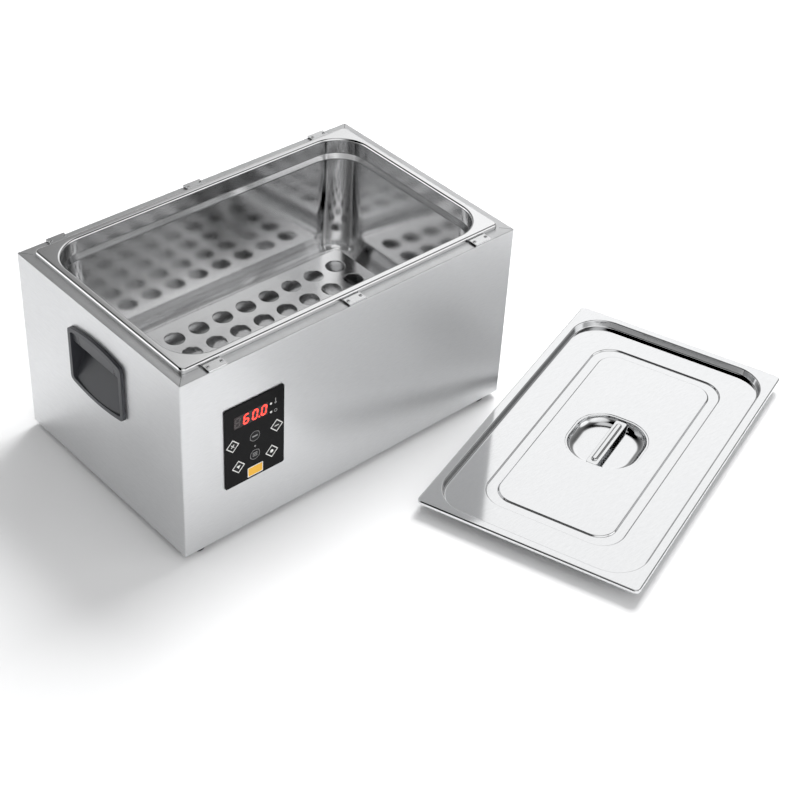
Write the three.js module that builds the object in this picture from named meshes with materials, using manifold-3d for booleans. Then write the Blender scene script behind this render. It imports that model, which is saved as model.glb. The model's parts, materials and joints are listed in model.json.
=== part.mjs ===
// Countertop sous vide water bath with a full-size gastronorm tank.
//
// Millimetres, +Z up. The bath and its lid stand on the plane Z = 0; +X runs along the long side,
// and the control panel is on the front, which faces -Y. The origin is the middle of the rectangle
// that the bath and the lid beside it cover together.
// Everything is placed in the bath's own coordinates (zero at the middle of the casing) and then
// shifted as one group at the end of the file.

import * as THREE from 'three';
import { mergeVertices } from 'three/addons/utils/BufferGeometryUtils.js';
import Module from 'manifold-3d';

const wasm = await Module();
wasm.setup();

// ---------------------------------------------------------------- driving dimensions

const GAP = 0.3;                 // air between neighbouring pieces

// casing
const CASE_LENGTH = 560;
const CASE_DEPTH = 357.5;
const CASE_TOP = 290.5;
const CASE_BOTTOM = 10;
const CASE_SHEET = 1.2;
const CASE_EDGE_RADIUS = 2.5;
const CASE_FOOT_FLANGE = 26;     // inward flange round the bottom edge
const CASE_X = CASE_LENGTH / 2;
const CASE_Y = CASE_DEPTH / 2;

// gastronorm 1/1 tank, 200 mm deep
const GN_LENGTH = 530;
const GN_WIDTH = 325;
const RIM_TOP = 297.5;
const RIM_FLAT = 11.5;           // from the lip's outer face to the opening
const RIM_CORNER = 8;
const TANK_SHEET = 1.2;
const TANK_FLOOR = 98.7;         // upper face of the floor
const TANK_CORNER = 50;
const TANK_COVE = 42;            // radius between wall and floor
const TANK_DRAFT = 3.3 * Math.PI / 180;
const SHOULDER_TOP = 274;
const SHOULDER_BOTTOM = 266;
const SHOULDER_STEP = 3;

// perforated false bottom
const PLATE_LENGTH = 437;
const PLATE_WIDTH = 233;
const PLATE_TOP = 126;
const PLATE_SHEET = 2;
const PLATE_FLANGE = 8;
const HOLE_PITCH = 41.4;
const HOLE_RADIUS = 14.8;
const HOLE_SIDES = 14;
const HOLES_ALONG = 10;
const HOLES_ACROSS = 5;

// side handles
const HANDLE_HALF_WIDTH = 59;
const HANDLE_LOW = 161;          // height of the lower corners
const HANDLE_HIGH = 244;         // height of the upper corners
const HANDLE_BULGE = 8;          // how far the top and bottom edges bow out
const HANDLE_PROUD = 5;
const HANDLE_FRAME = 6;
const HANDLE_DEPTH = 26;
const HANDLE_CORNER = 6;
const HANDLE_TOP_PULL = 1.8;     // curve control, in bulges beyond the corner's height
const HANDLE_BOTTOM_PULL = 1.6;
const HANDLE_CORNER_LIFT = 0.2;

// control panel on the front
const PANEL_LEFT = -216;
const PANEL_RIGHT = -121;
const PANEL_LOW = 91;
const PANEL_HIGH = 220;
const PANEL_THICK = 1.6;
const KEY_THICK = 1;
const KEY_HALF_DIAGONAL = 10.8;
const KEY_RADIUS = 8.3;
const PANEL_BACK = -CASE_Y - GAP;
const PANEL_FRONT = PANEL_BACK - PANEL_THICK;

// lid
const LID_CENTRE = [319, -361];
const LID_TURN = 18.8 * Math.PI / 180;
const LID_RIM_TOP = 24;
const LID_PANEL = 14;
const LID_GROOVE = 12;
const LID_SHEET = 0.9;

const RING_STEPS = 5;            // segments in each rounded corner

// ---------------------------------------------------------------- solids

function solidOf(geometry) {
  const bare = geometry.clone();
  bare.deleteAttribute('normal');
  bare.deleteAttribute('uv');
  const merged = mergeVertices(bare, 1e-4);
  return new wasm.Manifold(new wasm.Mesh({
    numProp: 3,
    vertProperties: Float32Array.from(merged.attributes.position.array),
    triVerts: Uint32Array.from(merged.index.array),
  }));
}

function geometryOf(solid) {
  const mesh = solid.getMesh();
  const geometry = new THREE.BufferGeometry();
  geometry.setAttribute('position', new THREE.BufferAttribute(Float32Array.from(mesh.vertProperties), 3));
  geometry.setIndex(new THREE.BufferAttribute(Uint32Array.from(mesh.triVerts), 1));
  return geometry;
}

function join(...geometries) {
  return geometryOf(geometries.map(solidOf).reduce((whole, piece) => whole.add(piece)));
}

function cut(geometry, ...tools) {
  return geometryOf(tools.map(solidOf).reduce((left, tool) => left.subtract(tool), solidOf(geometry)));
}

function common(first, second) {
  return geometryOf(solidOf(first).intersect(solidOf(second)));
}

function block(x0, x1, y0, y1, z0, z1) {
  const geometry = new THREE.BoxGeometry(x1 - x0, y1 - y0, z1 - z0);
  return geometry.translate((x0 + x1) / 2, (y0 + y1) / 2, (z0 + z1) / 2);
}

// A disc or round bar standing on Z, from z0 to z1.
function disc(x, y, radius, z0, z1, sides = 20) {
  const geometry = new THREE.CylinderGeometry(radius, radius, z1 - z0, sides);
  return geometry.rotateX(Math.PI / 2).translate(x, y, (z0 + z1) / 2);
}

// A turned piece on a vertical axis, from its half section.
function turned(x, y, outline, sides = 20) {
  const points = outline.map(([radius, z]) => new THREE.Vector2(radius, z));
  return new THREE.LatheGeometry(points, sides).rotateX(Math.PI / 2).translate(x, y, 0);
}

function placed(geometry, right, up, along) {
  return geometry.applyMatrix4(new THREE.Matrix4().makeBasis(right, up, along));
}

function extruded(shape, depth, curveSegments) {
  return new THREE.ExtrudeGeometry(shape, { depth, curveSegments, bevelEnabled: false });
}

const AXIS_X = new THREE.Vector3(1, 0, 0);
const AXIS_Y = new THREE.Vector3(0, 1, 0);
const AXIS_Z = new THREE.Vector3(0, 0, 1);

// Prisms: an outline drawn in XY, XZ or YZ and carried between two planes of the third axis.
function prismZ(shape, z0, z1, segments = 6) {
  return extruded(shape, z1 - z0, segments).translate(0, 0, z0);
}

function prismY(shape, y0, y1, segments = 6) {
  const geometry = extruded(shape, y1 - y0, segments);
  return placed(geometry, AXIS_X, AXIS_Z, AXIS_Y.clone().negate()).translate(0, y1, 0);
}

function prismX(shape, x0, x1, segments = 6) {
  const geometry = extruded(shape, x1 - x0, segments);
  return placed(geometry, AXIS_Y, AXIS_Z, AXIS_X).translate(x0, 0, 0);
}

function polygon(points) {
  return new THREE.Shape(points.map(([u, v]) => new THREE.Vector2(u, v)));
}

function circle(u, v, radius, sides = 20) {
  const corners = Array.from({ length: sides }, (_, k) => 2 * Math.PI * k / sides);
  return polygon(corners.map((angle) => [u + radius * Math.cos(angle), v + radius * Math.sin(angle)]));
}

function roundedRectangle(u0, u1, v0, v1, radius) {
  const shape = new THREE.Shape();
  shape.absarc(u1 - radius, v1 - radius, radius, 0, Math.PI / 2, false);
  shape.absarc(u0 + radius, v1 - radius, radius, Math.PI / 2, Math.PI, false);
  shape.absarc(u0 + radius, v0 + radius, radius, Math.PI, 1.5 * Math.PI, false);
  shape.absarc(u1 - radius, v0 + radius, radius, 1.5 * Math.PI, 2 * Math.PI, false);
  shape.closePath();
  return shape;
}

// A round wire or tube through a few points.
function tube(points, radius, steps = 24, sides = 8) {
  const path = new THREE.CatmullRomCurve3(points.map((p) => new THREE.Vector3(...p)), false, 'centripetal');
  return new THREE.ExtrudeGeometry(circle(0, 0, radius, sides), {
    steps,
    extrudePath: path,
    bevelEnabled: false,
  });
}

// One level ring of a pressing: the points of a rounded rectangle about the Z axis.
function ringPoints({ x, y, r, z }) {
  const points = [];
  for (let corner = 0; corner < 4; corner += 1) {
    const cx = (corner === 0 || corner === 3 ? 1 : -1) * (x - r);
    const cy = (corner < 2 ? 1 : -1) * (y - r);
    for (let step = 0; step <= RING_STEPS; step += 1) {
      const angle = (corner + step / RING_STEPS) * Math.PI / 2;
      points.push([cx + r * Math.cos(angle), cy + r * Math.sin(angle), z]);
    }
  }
  return points;
}

// The same ring moved by the sheet's thickness, square to the profile on both of its sides.
function offsetRing(profile, index, thickness) {
  const here = profile[index];
  const normals = [[index - 1, index], [index, index + 1]]
    .filter(([from, to]) => from >= 0 && to < profile.length)
    .map(([from, to]) => {
      const dx = profile[to].x - profile[from].x;
      const dz = profile[to].z - profile[from].z;
      const length = Math.hypot(dx, dz);
      return [dz / length, -dx / length];
    });
  const sum = normals.reduce(([ax, az], [bx, bz]) => [ax + bx, az + bz]);
  const scale = thickness * normals.length / (sum[0] ** 2 + sum[1] ** 2);
  const move = sum[0] * scale;
  return { x: here.x + move, y: here.y + move, r: Math.max(here.r + move, 0.5), z: here.z + sum[1] * scale };
}

// A closed body over a list of rings. The first ring is closed by a face that looks up and the last
// one by a face that looks down, so a plain block lists its top ring first.
function skin(rings) {
  const count = rings[0].length;
  const triangles = [];
  for (let ring = 0; ring + 1 < rings.length; ring += 1) {
    for (let k = 0; k < count; k += 1) {
      const here = ring * count + k;
      const beside = ring * count + (k + 1) % count;
      triangles.push(here, here + count, beside + count, here, beside + count, beside);
    }
  }
  const last = (rings.length - 1) * count;
  const outline = rings[0].map(([x, y]) => new THREE.Vector2(x, y));
  THREE.ShapeUtils.triangulateShape(outline, []).forEach(([a, b, c]) => {
    triangles.push(a, b, c, last + a, last + c, last + b);
  });
  const geometry = new THREE.BufferGeometry();
  geometry.setAttribute('position', new THREE.Float32BufferAttribute(rings.flat(2), 3));
  geometry.setIndex(triangles);
  return geometry;
}

// A sheet pressing: level rings from the middle outward describe its upper side, and the lower side
// is the same profile one sheet thickness away.
function pressing(profile, thickness) {
  const upper = profile.map(ringPoints);
  const lower = profile.map((ring, index) => ringPoints(offsetRing(profile, index, thickness)));
  return skin([...upper, ...lower.reverse()]);
}

// ---------------------------------------------------------------- finishes and the tree

function finish(color, roughness, metalness) {
  return () => new THREE.MeshStandardMaterial({ color, roughness, metalness });
}

const brushedSteel = finish(0xc9cacb, 0.34, 1);
const polishedSteel = finish(0xd6d7d8, 0.12, 1);
const zincSteel = finish(0xb6b9ba, 0.45, 1);
const aluminium = finish(0xc4c6c8, 0.4, 1);
const brass = finish(0xc7a252, 0.35, 1);
const blackPlastic = finish(0x3a3b3e, 0.5, 0);
const darkFilm = finish(0x0a0a0b, 0.35, 0);
const smokedLens = finish(0x120405, 0.1, 0);
const blackRubber = finish(0x191919, 0.85, 0);
const siliconeRed = finish(0xb4452f, 0.6, 0);
const mineralWool = finish(0xe3dfd2, 0.95, 0);
const circuitBoard = finish(0x1f5a37, 0.5, 0);
const whitePlastic = finish(0xe9e6df, 0.5, 0);
const wireGrey = finish(0x8b8d90, 0.55, 0);

const bath = new THREE.Group();
const lid = new THREE.Group();

function add(name, geometry, material, parent = bath) {
  const mesh = new THREE.Mesh(geometry, material());
  mesh.name = name;
  parent.add(mesh);
  return mesh;
}

const SIDES = [['left', -1], ['right', 1]];
const ENDS = [['front', -1], ['back', 1]];

// ---------------------------------------------------------------- side handles: outlines

// The handle's outline in YZ: upright ends, top and bottom edges bowed outward.
function handleOutline(shrink) {
  const half = HANDLE_HALF_WIDTH - shrink;
  const low = HANDLE_LOW + shrink;
  const high = HANDLE_HIGH - shrink;
  const corner = Math.max(HANDLE_CORNER - shrink, 2);
  const lift = HANDLE_BULGE * HANDLE_CORNER_LIFT;
  const shape = new THREE.Shape();
  shape.moveTo(half, low + corner);
  shape.lineTo(half, high - corner);
  shape.quadraticCurveTo(half, high, half - corner, high + lift);
  shape.quadraticCurveTo(0, high + HANDLE_BULGE * HANDLE_TOP_PULL, -half + corner, high + lift);
  shape.quadraticCurveTo(-half, high, -half, high - corner);
  shape.lineTo(-half, low + corner);
  shape.quadraticCurveTo(-half, low, -half + corner, low - lift);
  shape.quadraticCurveTo(0, low - HANDLE_BULGE * HANDLE_BOTTOM_PULL, half - corner, low - lift);
  shape.quadraticCurveTo(half, low, half, low + corner);
  return shape;
}

const HANDLE_FACE = CASE_X + GAP + HANDLE_PROUD;
const HANDLE_BODY_SHRINK = 4;
const HANDLE_WALL = 1.6;
const HANDLE_FLOOR_TOP = 208;    // where the sloping floor meets the back
const HANDLE_POCKET_TOP = 238;
const HOOD_REACH = 12;           // how far the hood's inner end stands off the back
const HOOD_LOW = 220;

// ---------------------------------------------------------------- rear mains inlet: places

const INLET_X = 205;
const INLET_Z = 52;
const INLET_HALF_WIDTH = 14;
const INLET_LOW = 22;
const INLET_HIGH = 90;
const ROCKER_Z = 77;
const DRAWER_Z = 30;

// ---------------------------------------------------------------- display: places

const DISPLAY_LEFT = -202;
const DISPLAY_RIGHT = -147;
const DISPLAY_LOW = 183.5;
const DISPLAY_HIGH = 203.5;

// ---------------------------------------------------------------- outer casing

const WELL_CLEARANCE = 3;        // between the tank's inner wall and the opening in the top
const MITRE_REACH = 70;          // how far the mitred corners run in

// The folded sheet as a whole, before it is parted at the mitres.
function casingSheet() {
  const outside = roundedRectangle(-CASE_X, CASE_X, -CASE_Y, CASE_Y, CASE_EDGE_RADIUS);
  const shell = prismZ(outside, CASE_BOTTOM, CASE_TOP, 4);
  const inX = CASE_X - CASE_SHEET;
  const inY = CASE_Y - CASE_SHEET;
  const hollow = block(-inX, inX, -inY, inY, CASE_BOTTOM + CASE_SHEET, CASE_TOP - CASE_SHEET);
  const wellX = GN_LENGTH / 2 - RIM_FLAT + WELL_CLEARANCE;
  const wellY = GN_WIDTH / 2 - RIM_FLAT + WELL_CLEARANCE;
  const well = prismZ(
    roundedRectangle(-wellX, wellX, -wellY, wellY, TANK_CORNER + 2), CASE_TOP - 5, CASE_TOP + 5, 5);
  const floorX = CASE_X - CASE_FOOT_FLANGE;
  const floorY = CASE_Y - CASE_FOOT_FLANGE;
  const floorOpening = block(-floorX, floorX, -floorY, floorY, CASE_BOTTOM - 5, CASE_BOTTOM + 5);
  const handleWindows = prismX(handleOutline(HANDLE_BODY_SHRINK - 0.5), -CASE_X - 5, CASE_X + 5, 5);
  const displayWindow = block(
    DISPLAY_LEFT - 1, DISPLAY_RIGHT + 1, -CASE_Y - 5, -CASE_Y + 5, DISPLAY_LOW - 1, DISPLAY_HIGH + 1);
  const inletWindow = block(
    INLET_X - INLET_HALF_WIDTH - 0.5, INLET_X + INLET_HALF_WIDTH + 0.5,
    CASE_Y - 5, CASE_Y + 5, INLET_LOW - 0.5, INLET_HIGH + 0.5);
  return cut(shell, hollow, well, floorOpening, handleWindows, displayWindow, inletWindow);
}

// The part of the sheet that belongs to the wall on +X or +Y, turned to either side of the bath.
function casingPanel(sheet, half, lengthways, sign) {
  const across = lengthways ? CASE_X : CASE_Y;
  const seam = GAP / Math.SQRT2;
  const outer = half + 5;
  const wedge = polygon([
    [outer, across + 5 - seam],
    [half - MITRE_REACH, across - MITRE_REACH - seam],
    [half - MITRE_REACH, -across + MITRE_REACH + seam],
    [outer, -across - 5 + seam],
  ]);
  const zone = prismZ(wedge, CASE_BOTTOM - 1, CASE_TOP + 1);
  const quarter = lengthways ? Math.PI / 2 : 0;
  return common(sheet, zone.rotateZ(quarter + (sign > 0 ? 0 : Math.PI)));
}

const sheet = casingSheet();
for (const [end, ySign] of ENDS) {
  add(`casing_${end}`, casingPanel(sheet, CASE_Y, true, ySign), brushedSteel);
}
for (const [side, xSign] of SIDES) {
  add(`casing_${side}`, casingPanel(sheet, CASE_X, false, xSign), brushedSteel);
}

// ---------------------------------------------------------------- base plate with air slots

const BASE_LOW = CASE_BOTTOM + CASE_SHEET + GAP;
const BASE_TOP = BASE_LOW + CASE_SHEET;
const SLOT_LENGTH = 60;
const SLOT_WIDTH = 6;
const SLOT_PITCH = 16;
const SLOT_MIDDLE_X = 205;

function basePlate() {
  const x = CASE_X - CASE_SHEET - 0.5;
  const y = CASE_Y - CASE_SHEET - 0.5;
  const slots = [];
  for (const side of [-1, 1]) {
    for (let row = -3; row <= 3; row += 1) {
      const middle = side * SLOT_MIDDLE_X;
      const at = row * SLOT_PITCH;
      slots.push(block(
        middle - SLOT_LENGTH / 2, middle + SLOT_LENGTH / 2, at - SLOT_WIDTH / 2, at + SLOT_WIDTH / 2, 0, 30));
    }
  }
  return cut(block(-x, x, -y, y, BASE_LOW, BASE_TOP), ...slots);
}

add('base_plate', basePlate(), zincSteel);

// ---------------------------------------------------------------- rubber feet

const FOOT_X = 251;
const FOOT_Y = 163;
const FOOT_RADIUS = 10.5;

function foot(x, y) {
  const top = CASE_BOTTOM - GAP;
  return turned(x, y, [[0, 0], [FOOT_RADIUS - 2, 0], [FOOT_RADIUS, 2], [FOOT_RADIUS, top], [0, top]]);
}

for (const [end, ySign] of ENDS) {
  for (const [side, xSign] of SIDES) {
    add(`foot_${end}_${side}`, foot(xSign * FOOT_X, ySign * FOOT_Y), blackRubber);
  }
}

// ---------------------------------------------------------------- gastronorm tank

// Half sizes of the tank's inner wall at height z, below the shoulder.
function tankWall(z) {
  const inward = RIM_FLAT + SHOULDER_STEP + (SHOULDER_BOTTOM - z) * Math.tan(TANK_DRAFT);
  return { x: GN_LENGTH / 2 - inward, y: GN_WIDTH / 2 - inward, r: TANK_CORNER - SHOULDER_STEP, z };
}

function tankProfile() {
  const steps = 5;
  const coveTop = tankWall(TANK_FLOOR + TANK_COVE);
  const profile = [];
  for (let step = 0; step <= steps; step += 1) {
    const angle = step / steps * Math.PI / 2;
    const inward = TANK_COVE * (1 - Math.sin(angle));
    profile.push({
      x: coveTop.x - inward,
      y: coveTop.y - inward,
      r: coveTop.r - inward,
      z: TANK_FLOOR + TANK_COVE * (1 - Math.cos(angle)),
    });
  }
  const opening = { x: GN_LENGTH / 2 - RIM_FLAT, y: GN_WIDTH / 2 - RIM_FLAT, r: TANK_CORNER };
  const lip = { x: GN_LENGTH / 2, y: GN_WIDTH / 2, r: RIM_CORNER };
  const grown = (ring, by, z) => ({ x: ring.x + by, y: ring.y + by, r: ring.r + by, z });
  profile.push(tankWall(SHOULDER_BOTTOM));
  profile.push(grown(opening, -0.3, SHOULDER_TOP));
  profile.push(grown(opening, 0, RIM_TOP - 3));
  profile.push(grown(opening, 0.9, RIM_TOP - 0.9));
  profile.push(grown(opening, 3, RIM_TOP));
  profile.push(grown(lip, -3, RIM_TOP));
  profile.push(grown(lip, -0.9, RIM_TOP - 0.9));
  profile.push(grown(lip, 0, RIM_TOP - 3));
  profile.push(grown(lip, 0, CASE_TOP + GAP));
  return profile;
}

add('water_tank', pressing(tankProfile(), TANK_SHEET), polishedSteel);

// ---------------------------------------------------------------- gasket between tank rim and casing

function tankGasket() {
  const outerX = GN_LENGTH / 2 - TANK_SHEET - 0.8;
  const outerY = GN_WIDTH / 2 - TANK_SHEET - 0.8;
  const width = 5;
  const ring = roundedRectangle(-outerX, outerX, -outerY, outerY, RIM_CORNER - 2);
  ring.holes.push(roundedRectangle(-outerX + width, outerX - width, -outerY + width, outerY - width, 2));
  return prismZ(ring, CASE_TOP + GAP, RIM_TOP - TANK_SHEET - 2.2, 3);
}

add('tank_gasket', tankGasket(), blackRubber);

// ---------------------------------------------------------------- rim clips

const CLIP_LENGTH = 28;
const CLIP_INNER = GN_WIDTH / 2 + 0.5;
const CLIP_OUTER = CASE_Y + 1;
const CLIP_TOP = CASE_TOP + 3.1;
const CLIP_SHEET = 1;
const CLIP_SPACING = 222;

// A bridge of bent sheet over the casing's flange, open at both ends.
function rimClip(x, ySign) {
  const section = polygon([
    [CLIP_INNER, CASE_TOP + GAP],
    [CLIP_INNER + CLIP_SHEET, CASE_TOP + GAP],
    [CLIP_INNER + CLIP_SHEET, CLIP_TOP - CLIP_SHEET],
    [CLIP_OUTER - CLIP_SHEET - 1, CLIP_TOP - CLIP_SHEET],
    [CLIP_OUTER - CLIP_SHEET - 1, CASE_TOP + GAP],
    [CLIP_OUTER - 1, CASE_TOP + GAP],
    [CLIP_OUTER - 1, CLIP_TOP],
    [CLIP_INNER, CLIP_TOP],
  ]);
  const clip = prismX(section, x - CLIP_LENGTH / 2, x + CLIP_LENGTH / 2);
  return ySign > 0 ? clip : clip.rotateZ(Math.PI).translate(2 * x, 0, 0);
}

for (const [end, ySign] of ENDS) {
  [['left', -1], ['middle', 0], ['right', 1]].forEach(([place, xSign]) => {
    add(`rim_clip_${end}_${place}`, rimClip(xSign * CLIP_SPACING, ySign), brushedSteel);
  });
}

// ---------------------------------------------------------------- perforated false bottom

function falseBottomPlate() {
  const x = PLATE_LENGTH / 2;
  const y = PLATE_WIDTH / 2;
  const corner = 10;
  const sheet = roundedRectangle(-x, x, -y, y, corner);
  for (let column = 0; column < HOLES_ALONG; column += 1) {
    for (let row = 0; row < HOLES_ACROSS; row += 1) {
      const u = (column - (HOLES_ALONG - 1) / 2) * HOLE_PITCH;
      const v = (row - (HOLES_ACROSS - 1) / 2) * HOLE_PITCH;
      sheet.holes.push(circle(u, v, HOLE_RADIUS, HOLE_SIDES));
    }
  }
  const rim = roundedRectangle(-x, x, -y, y, corner);
  const inX = x - PLATE_SHEET;
  const inY = y - PLATE_SHEET;
  rim.holes.push(roundedRectangle(-inX, inX, -inY, inY, corner - PLATE_SHEET));
  const underside = PLATE_TOP - PLATE_SHEET;
  const top = prismZ(sheet, underside, PLATE_TOP, 4);
  const edge = prismZ(rim, PLATE_TOP - PLATE_FLANGE, underside + 0.5, 4);
  return join(top, edge);
}

add('false_bottom_plate', falseBottomPlate(), brushedSteel);

const RAIL_X = 165.6;            // between two columns of holes
const RAIL_HALF_LENGTH = 84;
const RAIL_SHEET = 1.5;
const RAIL_FOOT = 9;

// A bent rail under each end of the plate, with a foot turned inward along the tank floor.
function supportRail(xSign) {
  const top = PLATE_TOP - PLATE_SHEET - GAP;
  const low = TANK_FLOOR + GAP;
  const section = polygon([
    [RAIL_X - RAIL_FOOT, low],
    [RAIL_X + RAIL_SHEET, low],
    [RAIL_X + RAIL_SHEET, top - RAIL_SHEET],
    [RAIL_X + RAIL_FOOT / 2, top - RAIL_SHEET],
    [RAIL_X + RAIL_FOOT / 2, top],
    [RAIL_X, top],
    [RAIL_X, low + RAIL_SHEET],
    [RAIL_X - RAIL_FOOT, low + RAIL_SHEET],
  ]);
  const rail = prismY(section, -RAIL_HALF_LENGTH, RAIL_HALF_LENGTH);
  return xSign > 0 ? rail : rail.rotateZ(Math.PI);
}

for (const [side, xSign] of SIDES) {
  add(`false_bottom_rail_${side}`, supportRail(xSign), brushedSteel);
}

// ---------------------------------------------------------------- side handles

// Recessed grip, modelled on the right-hand side: a frame over the casing and a cup behind it. The
// finger space runs up behind a sloping hood, and its floor slopes down and outward.
function sideHandle() {
  const frame = prismX(handleOutline(0), CASE_X + GAP, HANDLE_FACE, 5);
  const cup = prismX(
    handleOutline(HANDLE_BODY_SHRINK), HANDLE_FACE - HANDLE_DEPTH - HANDLE_WALL, HANDLE_FACE - 1, 5);
  const back = HANDLE_FACE - HANDLE_DEPTH;
  const space = polygon([
    [HANDLE_FACE + 1, HANDLE_LOW - 4],
    [HANDLE_FACE, HANDLE_LOW - 4],
    [back, HANDLE_FLOOR_TOP],
    [back, HANDLE_POCKET_TOP],
    [back + HOOD_REACH, HANDLE_POCKET_TOP],
    [HANDLE_FACE - 9, HOOD_LOW + 3],
    [HANDLE_FACE - 5, HOOD_LOW],
    [HANDLE_FACE - 1.5, HANDLE_HIGH + 4],
    [HANDLE_FACE + 1, HANDLE_HIGH + 4],
  ]);
  const reach = HANDLE_HALF_WIDTH;
  const sloped = prismY(space, -reach, reach);
  const mouth = prismX(handleOutline(HANDLE_FRAME), back - 1, HANDLE_FACE + 1, 5);
  return cut(join(frame, cup), common(sloped, mouth));
}

for (const [side, xSign] of SIDES) {
  const handle = sideHandle();
  add(`side_handle_${side}`, xSign > 0 ? handle : handle.rotateZ(Math.PI), blackPlastic);
}

// ---------------------------------------------------------------- control panel

const DIAMOND_KEYS = [
  ['key_cancel', -203.8, 158.9],
  ['key_set', -133.2, 157.8],
  ['key_hold', -141.2, 118.8],
  ['key_timer', -195, 120.2],
];
const ROUND_KEYS = [
  ['key_temperature', -168.4, 158.2],
  ['key_program', -168.4, 127.6],
];

function diamond(u, v, half) {
  return polygon([[u + half, v], [u, v + half], [u - half, v], [u, v - half]]);
}

function panelOverlay() {
  const sheet = roundedRectangle(PANEL_LEFT, PANEL_RIGHT, PANEL_LOW, PANEL_HIGH, 3);
  DIAMOND_KEYS.forEach(([, u, v]) => sheet.holes.push(diamond(u, v, KEY_HALF_DIAGONAL + 0.4)));
  ROUND_KEYS.forEach(([, u, v]) => sheet.holes.push(circle(u, v, KEY_RADIUS + GAP)));
  sheet.holes.push(polygon([
    [DISPLAY_LEFT, DISPLAY_LOW], [DISPLAY_RIGHT, DISPLAY_LOW],
    [DISPLAY_RIGHT, DISPLAY_HIGH], [DISPLAY_LEFT, DISPLAY_HIGH],
  ]));
  return prismY(sheet, PANEL_FRONT, PANEL_BACK, 4);
}

add('panel_overlay', panelOverlay(), darkFilm);

DIAMOND_KEYS.forEach(([name, u, v]) => {
  add(name, prismY(diamond(u, v, KEY_HALF_DIAGONAL), PANEL_FRONT, PANEL_FRONT + KEY_THICK), darkFilm);
});
ROUND_KEYS.forEach(([name, u, v]) => {
  add(name, prismY(circle(u, v, KEY_RADIUS), PANEL_FRONT, PANEL_FRONT + KEY_THICK), darkFilm);
});

const LENS_BACK = PANEL_FRONT + 1;
add('display_window', block(
  DISPLAY_LEFT + GAP, DISPLAY_RIGHT - GAP, PANEL_FRONT, LENS_BACK, DISPLAY_LOW + GAP, DISPLAY_HIGH - GAP,
), smokedLens);

const DISPLAY_BACK = -168;
const MODULE_INSET = 0.8;
add('display_module', block(
  DISPLAY_LEFT + MODULE_INSET, DISPLAY_RIGHT - MODULE_INSET, LENS_BACK + GAP, DISPLAY_BACK,
  DISPLAY_LOW + MODULE_INSET, DISPLAY_HIGH - MODULE_INSET,
), whitePlastic);

// ---------------------------------------------------------------- control board and its bracket

const BOARD_FRONT = DISPLAY_BACK + GAP;
const BOARD_THICK = 1.6;
const BOARD = { x0: -212, x1: -125, z0: 96, z1: 214 };

function controlBoard() {
  const back = BOARD_FRONT + BOARD_THICK;
  const sheet = block(BOARD.x0, BOARD.x1, BOARD_FRONT, back, BOARD.z0, BOARD.z1);
  const processor = block(-180, -164, back - 0.2, back + 1.6, 150, 166);
  const plug = block(-176, -156, back - 0.2, back + 6, 100, 108);
  const buzzer = prismY(circle(-140, 190, 5, 14), back - 0.2, back + 5);
  return join(sheet, processor, plug, buzzer);
}

add('control_board', controlBoard(), circuitBoard);

// A bracket of bent sheet fixed to the inside of the front wall, reaching round the board's ends.
function boardBracket() {
  const wall = -CASE_Y + CASE_SHEET + GAP;
  const back = BOARD_FRONT + BOARD_THICK + 8;
  const out = 12;
  const section = polygon([
    [BOARD.x0 - out - 2, wall], [BOARD.x0 - 1, wall], [BOARD.x0 - 1, back - 1],
    [BOARD.x1 + 1, back - 1], [BOARD.x1 + 1, wall], [BOARD.x1 + out + 2, wall],
    [BOARD.x1 + out + 2, wall + 1], [BOARD.x1 + 2, wall + 1], [BOARD.x1 + 2, back],
    [BOARD.x0 - 2, back], [BOARD.x0 - 2, wall + 1], [BOARD.x0 - out - 2, wall + 1],
  ]);
  return prismZ(section, BOARD.z0 + 20, BOARD.z1 - 10);
}

add('board_bracket', boardBracket(), zincSteel);

// ---------------------------------------------------------------- heating under the tank

const FLOOR_UNDERSIDE = TANK_FLOOR - TANK_SHEET;
const PAD_TOP = FLOOR_UNDERSIDE - GAP;
const PAD_THICK = 3;
const CLAMP_TOP = PAD_TOP - PAD_THICK - GAP;
const CLAMP_THICK = 1.5;

add('heater_pad', prismZ(
  roundedRectangle(-168, 168, -82, 82, 12), PAD_TOP - PAD_THICK, PAD_TOP, 3), siliconeRed);
add('heater_clamp_plate', prismZ(
  roundedRectangle(-172, 172, -86, 86, 8), CLAMP_TOP - CLAMP_THICK, CLAMP_TOP, 3), aluminium);

// ---------------------------------------------------------------- insulation round the tank

const WOOL_LOW = 150;
const WOOL_HIGH = 260;
const WOOL_THICK = 5;

// A band that follows the drafted walls all the way round.
function insulationBand() {
  const wallRing = (z, by) => {
    const wall = tankWall(z);
    return ringPoints({ x: wall.x + by, y: wall.y + by, r: wall.r + by, z });
  };
  const inner = TANK_SHEET + 0.6;
  const outer = inner + WOOL_THICK;
  const outside = skin([wallRing(WOOL_HIGH, outer), wallRing(WOOL_LOW, outer)]);
  const inside = skin([wallRing(WOOL_HIGH + 5, inner), wallRing(WOOL_LOW - 5, inner)]);
  return cut(outside, inside);
}

add('insulation_band', insulationBand(), mineralWool);

// ---------------------------------------------------------------- sensors under the tank floor

const SENSOR_X = 186;
const PROBE_RADIUS = 3;
const PROBE_HALF_LENGTH = 40;
const PROBE_Z = PAD_TOP - PROBE_RADIUS;

function temperatureProbe() {
  const length = 2 * PROBE_HALF_LENGTH;
  const outline = [[0, 0], [PROBE_RADIUS * 0.6, 0], [PROBE_RADIUS, 2], [PROBE_RADIUS, length], [0, length]];
  const rod = turned(0, 0, outline, 12);
  return rod.rotateX(-Math.PI / 2).translate(-SENSOR_X, -PROBE_HALF_LENGTH, PROBE_Z);
}

add('temperature_probe', temperatureProbe(), polishedSteel);

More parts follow.
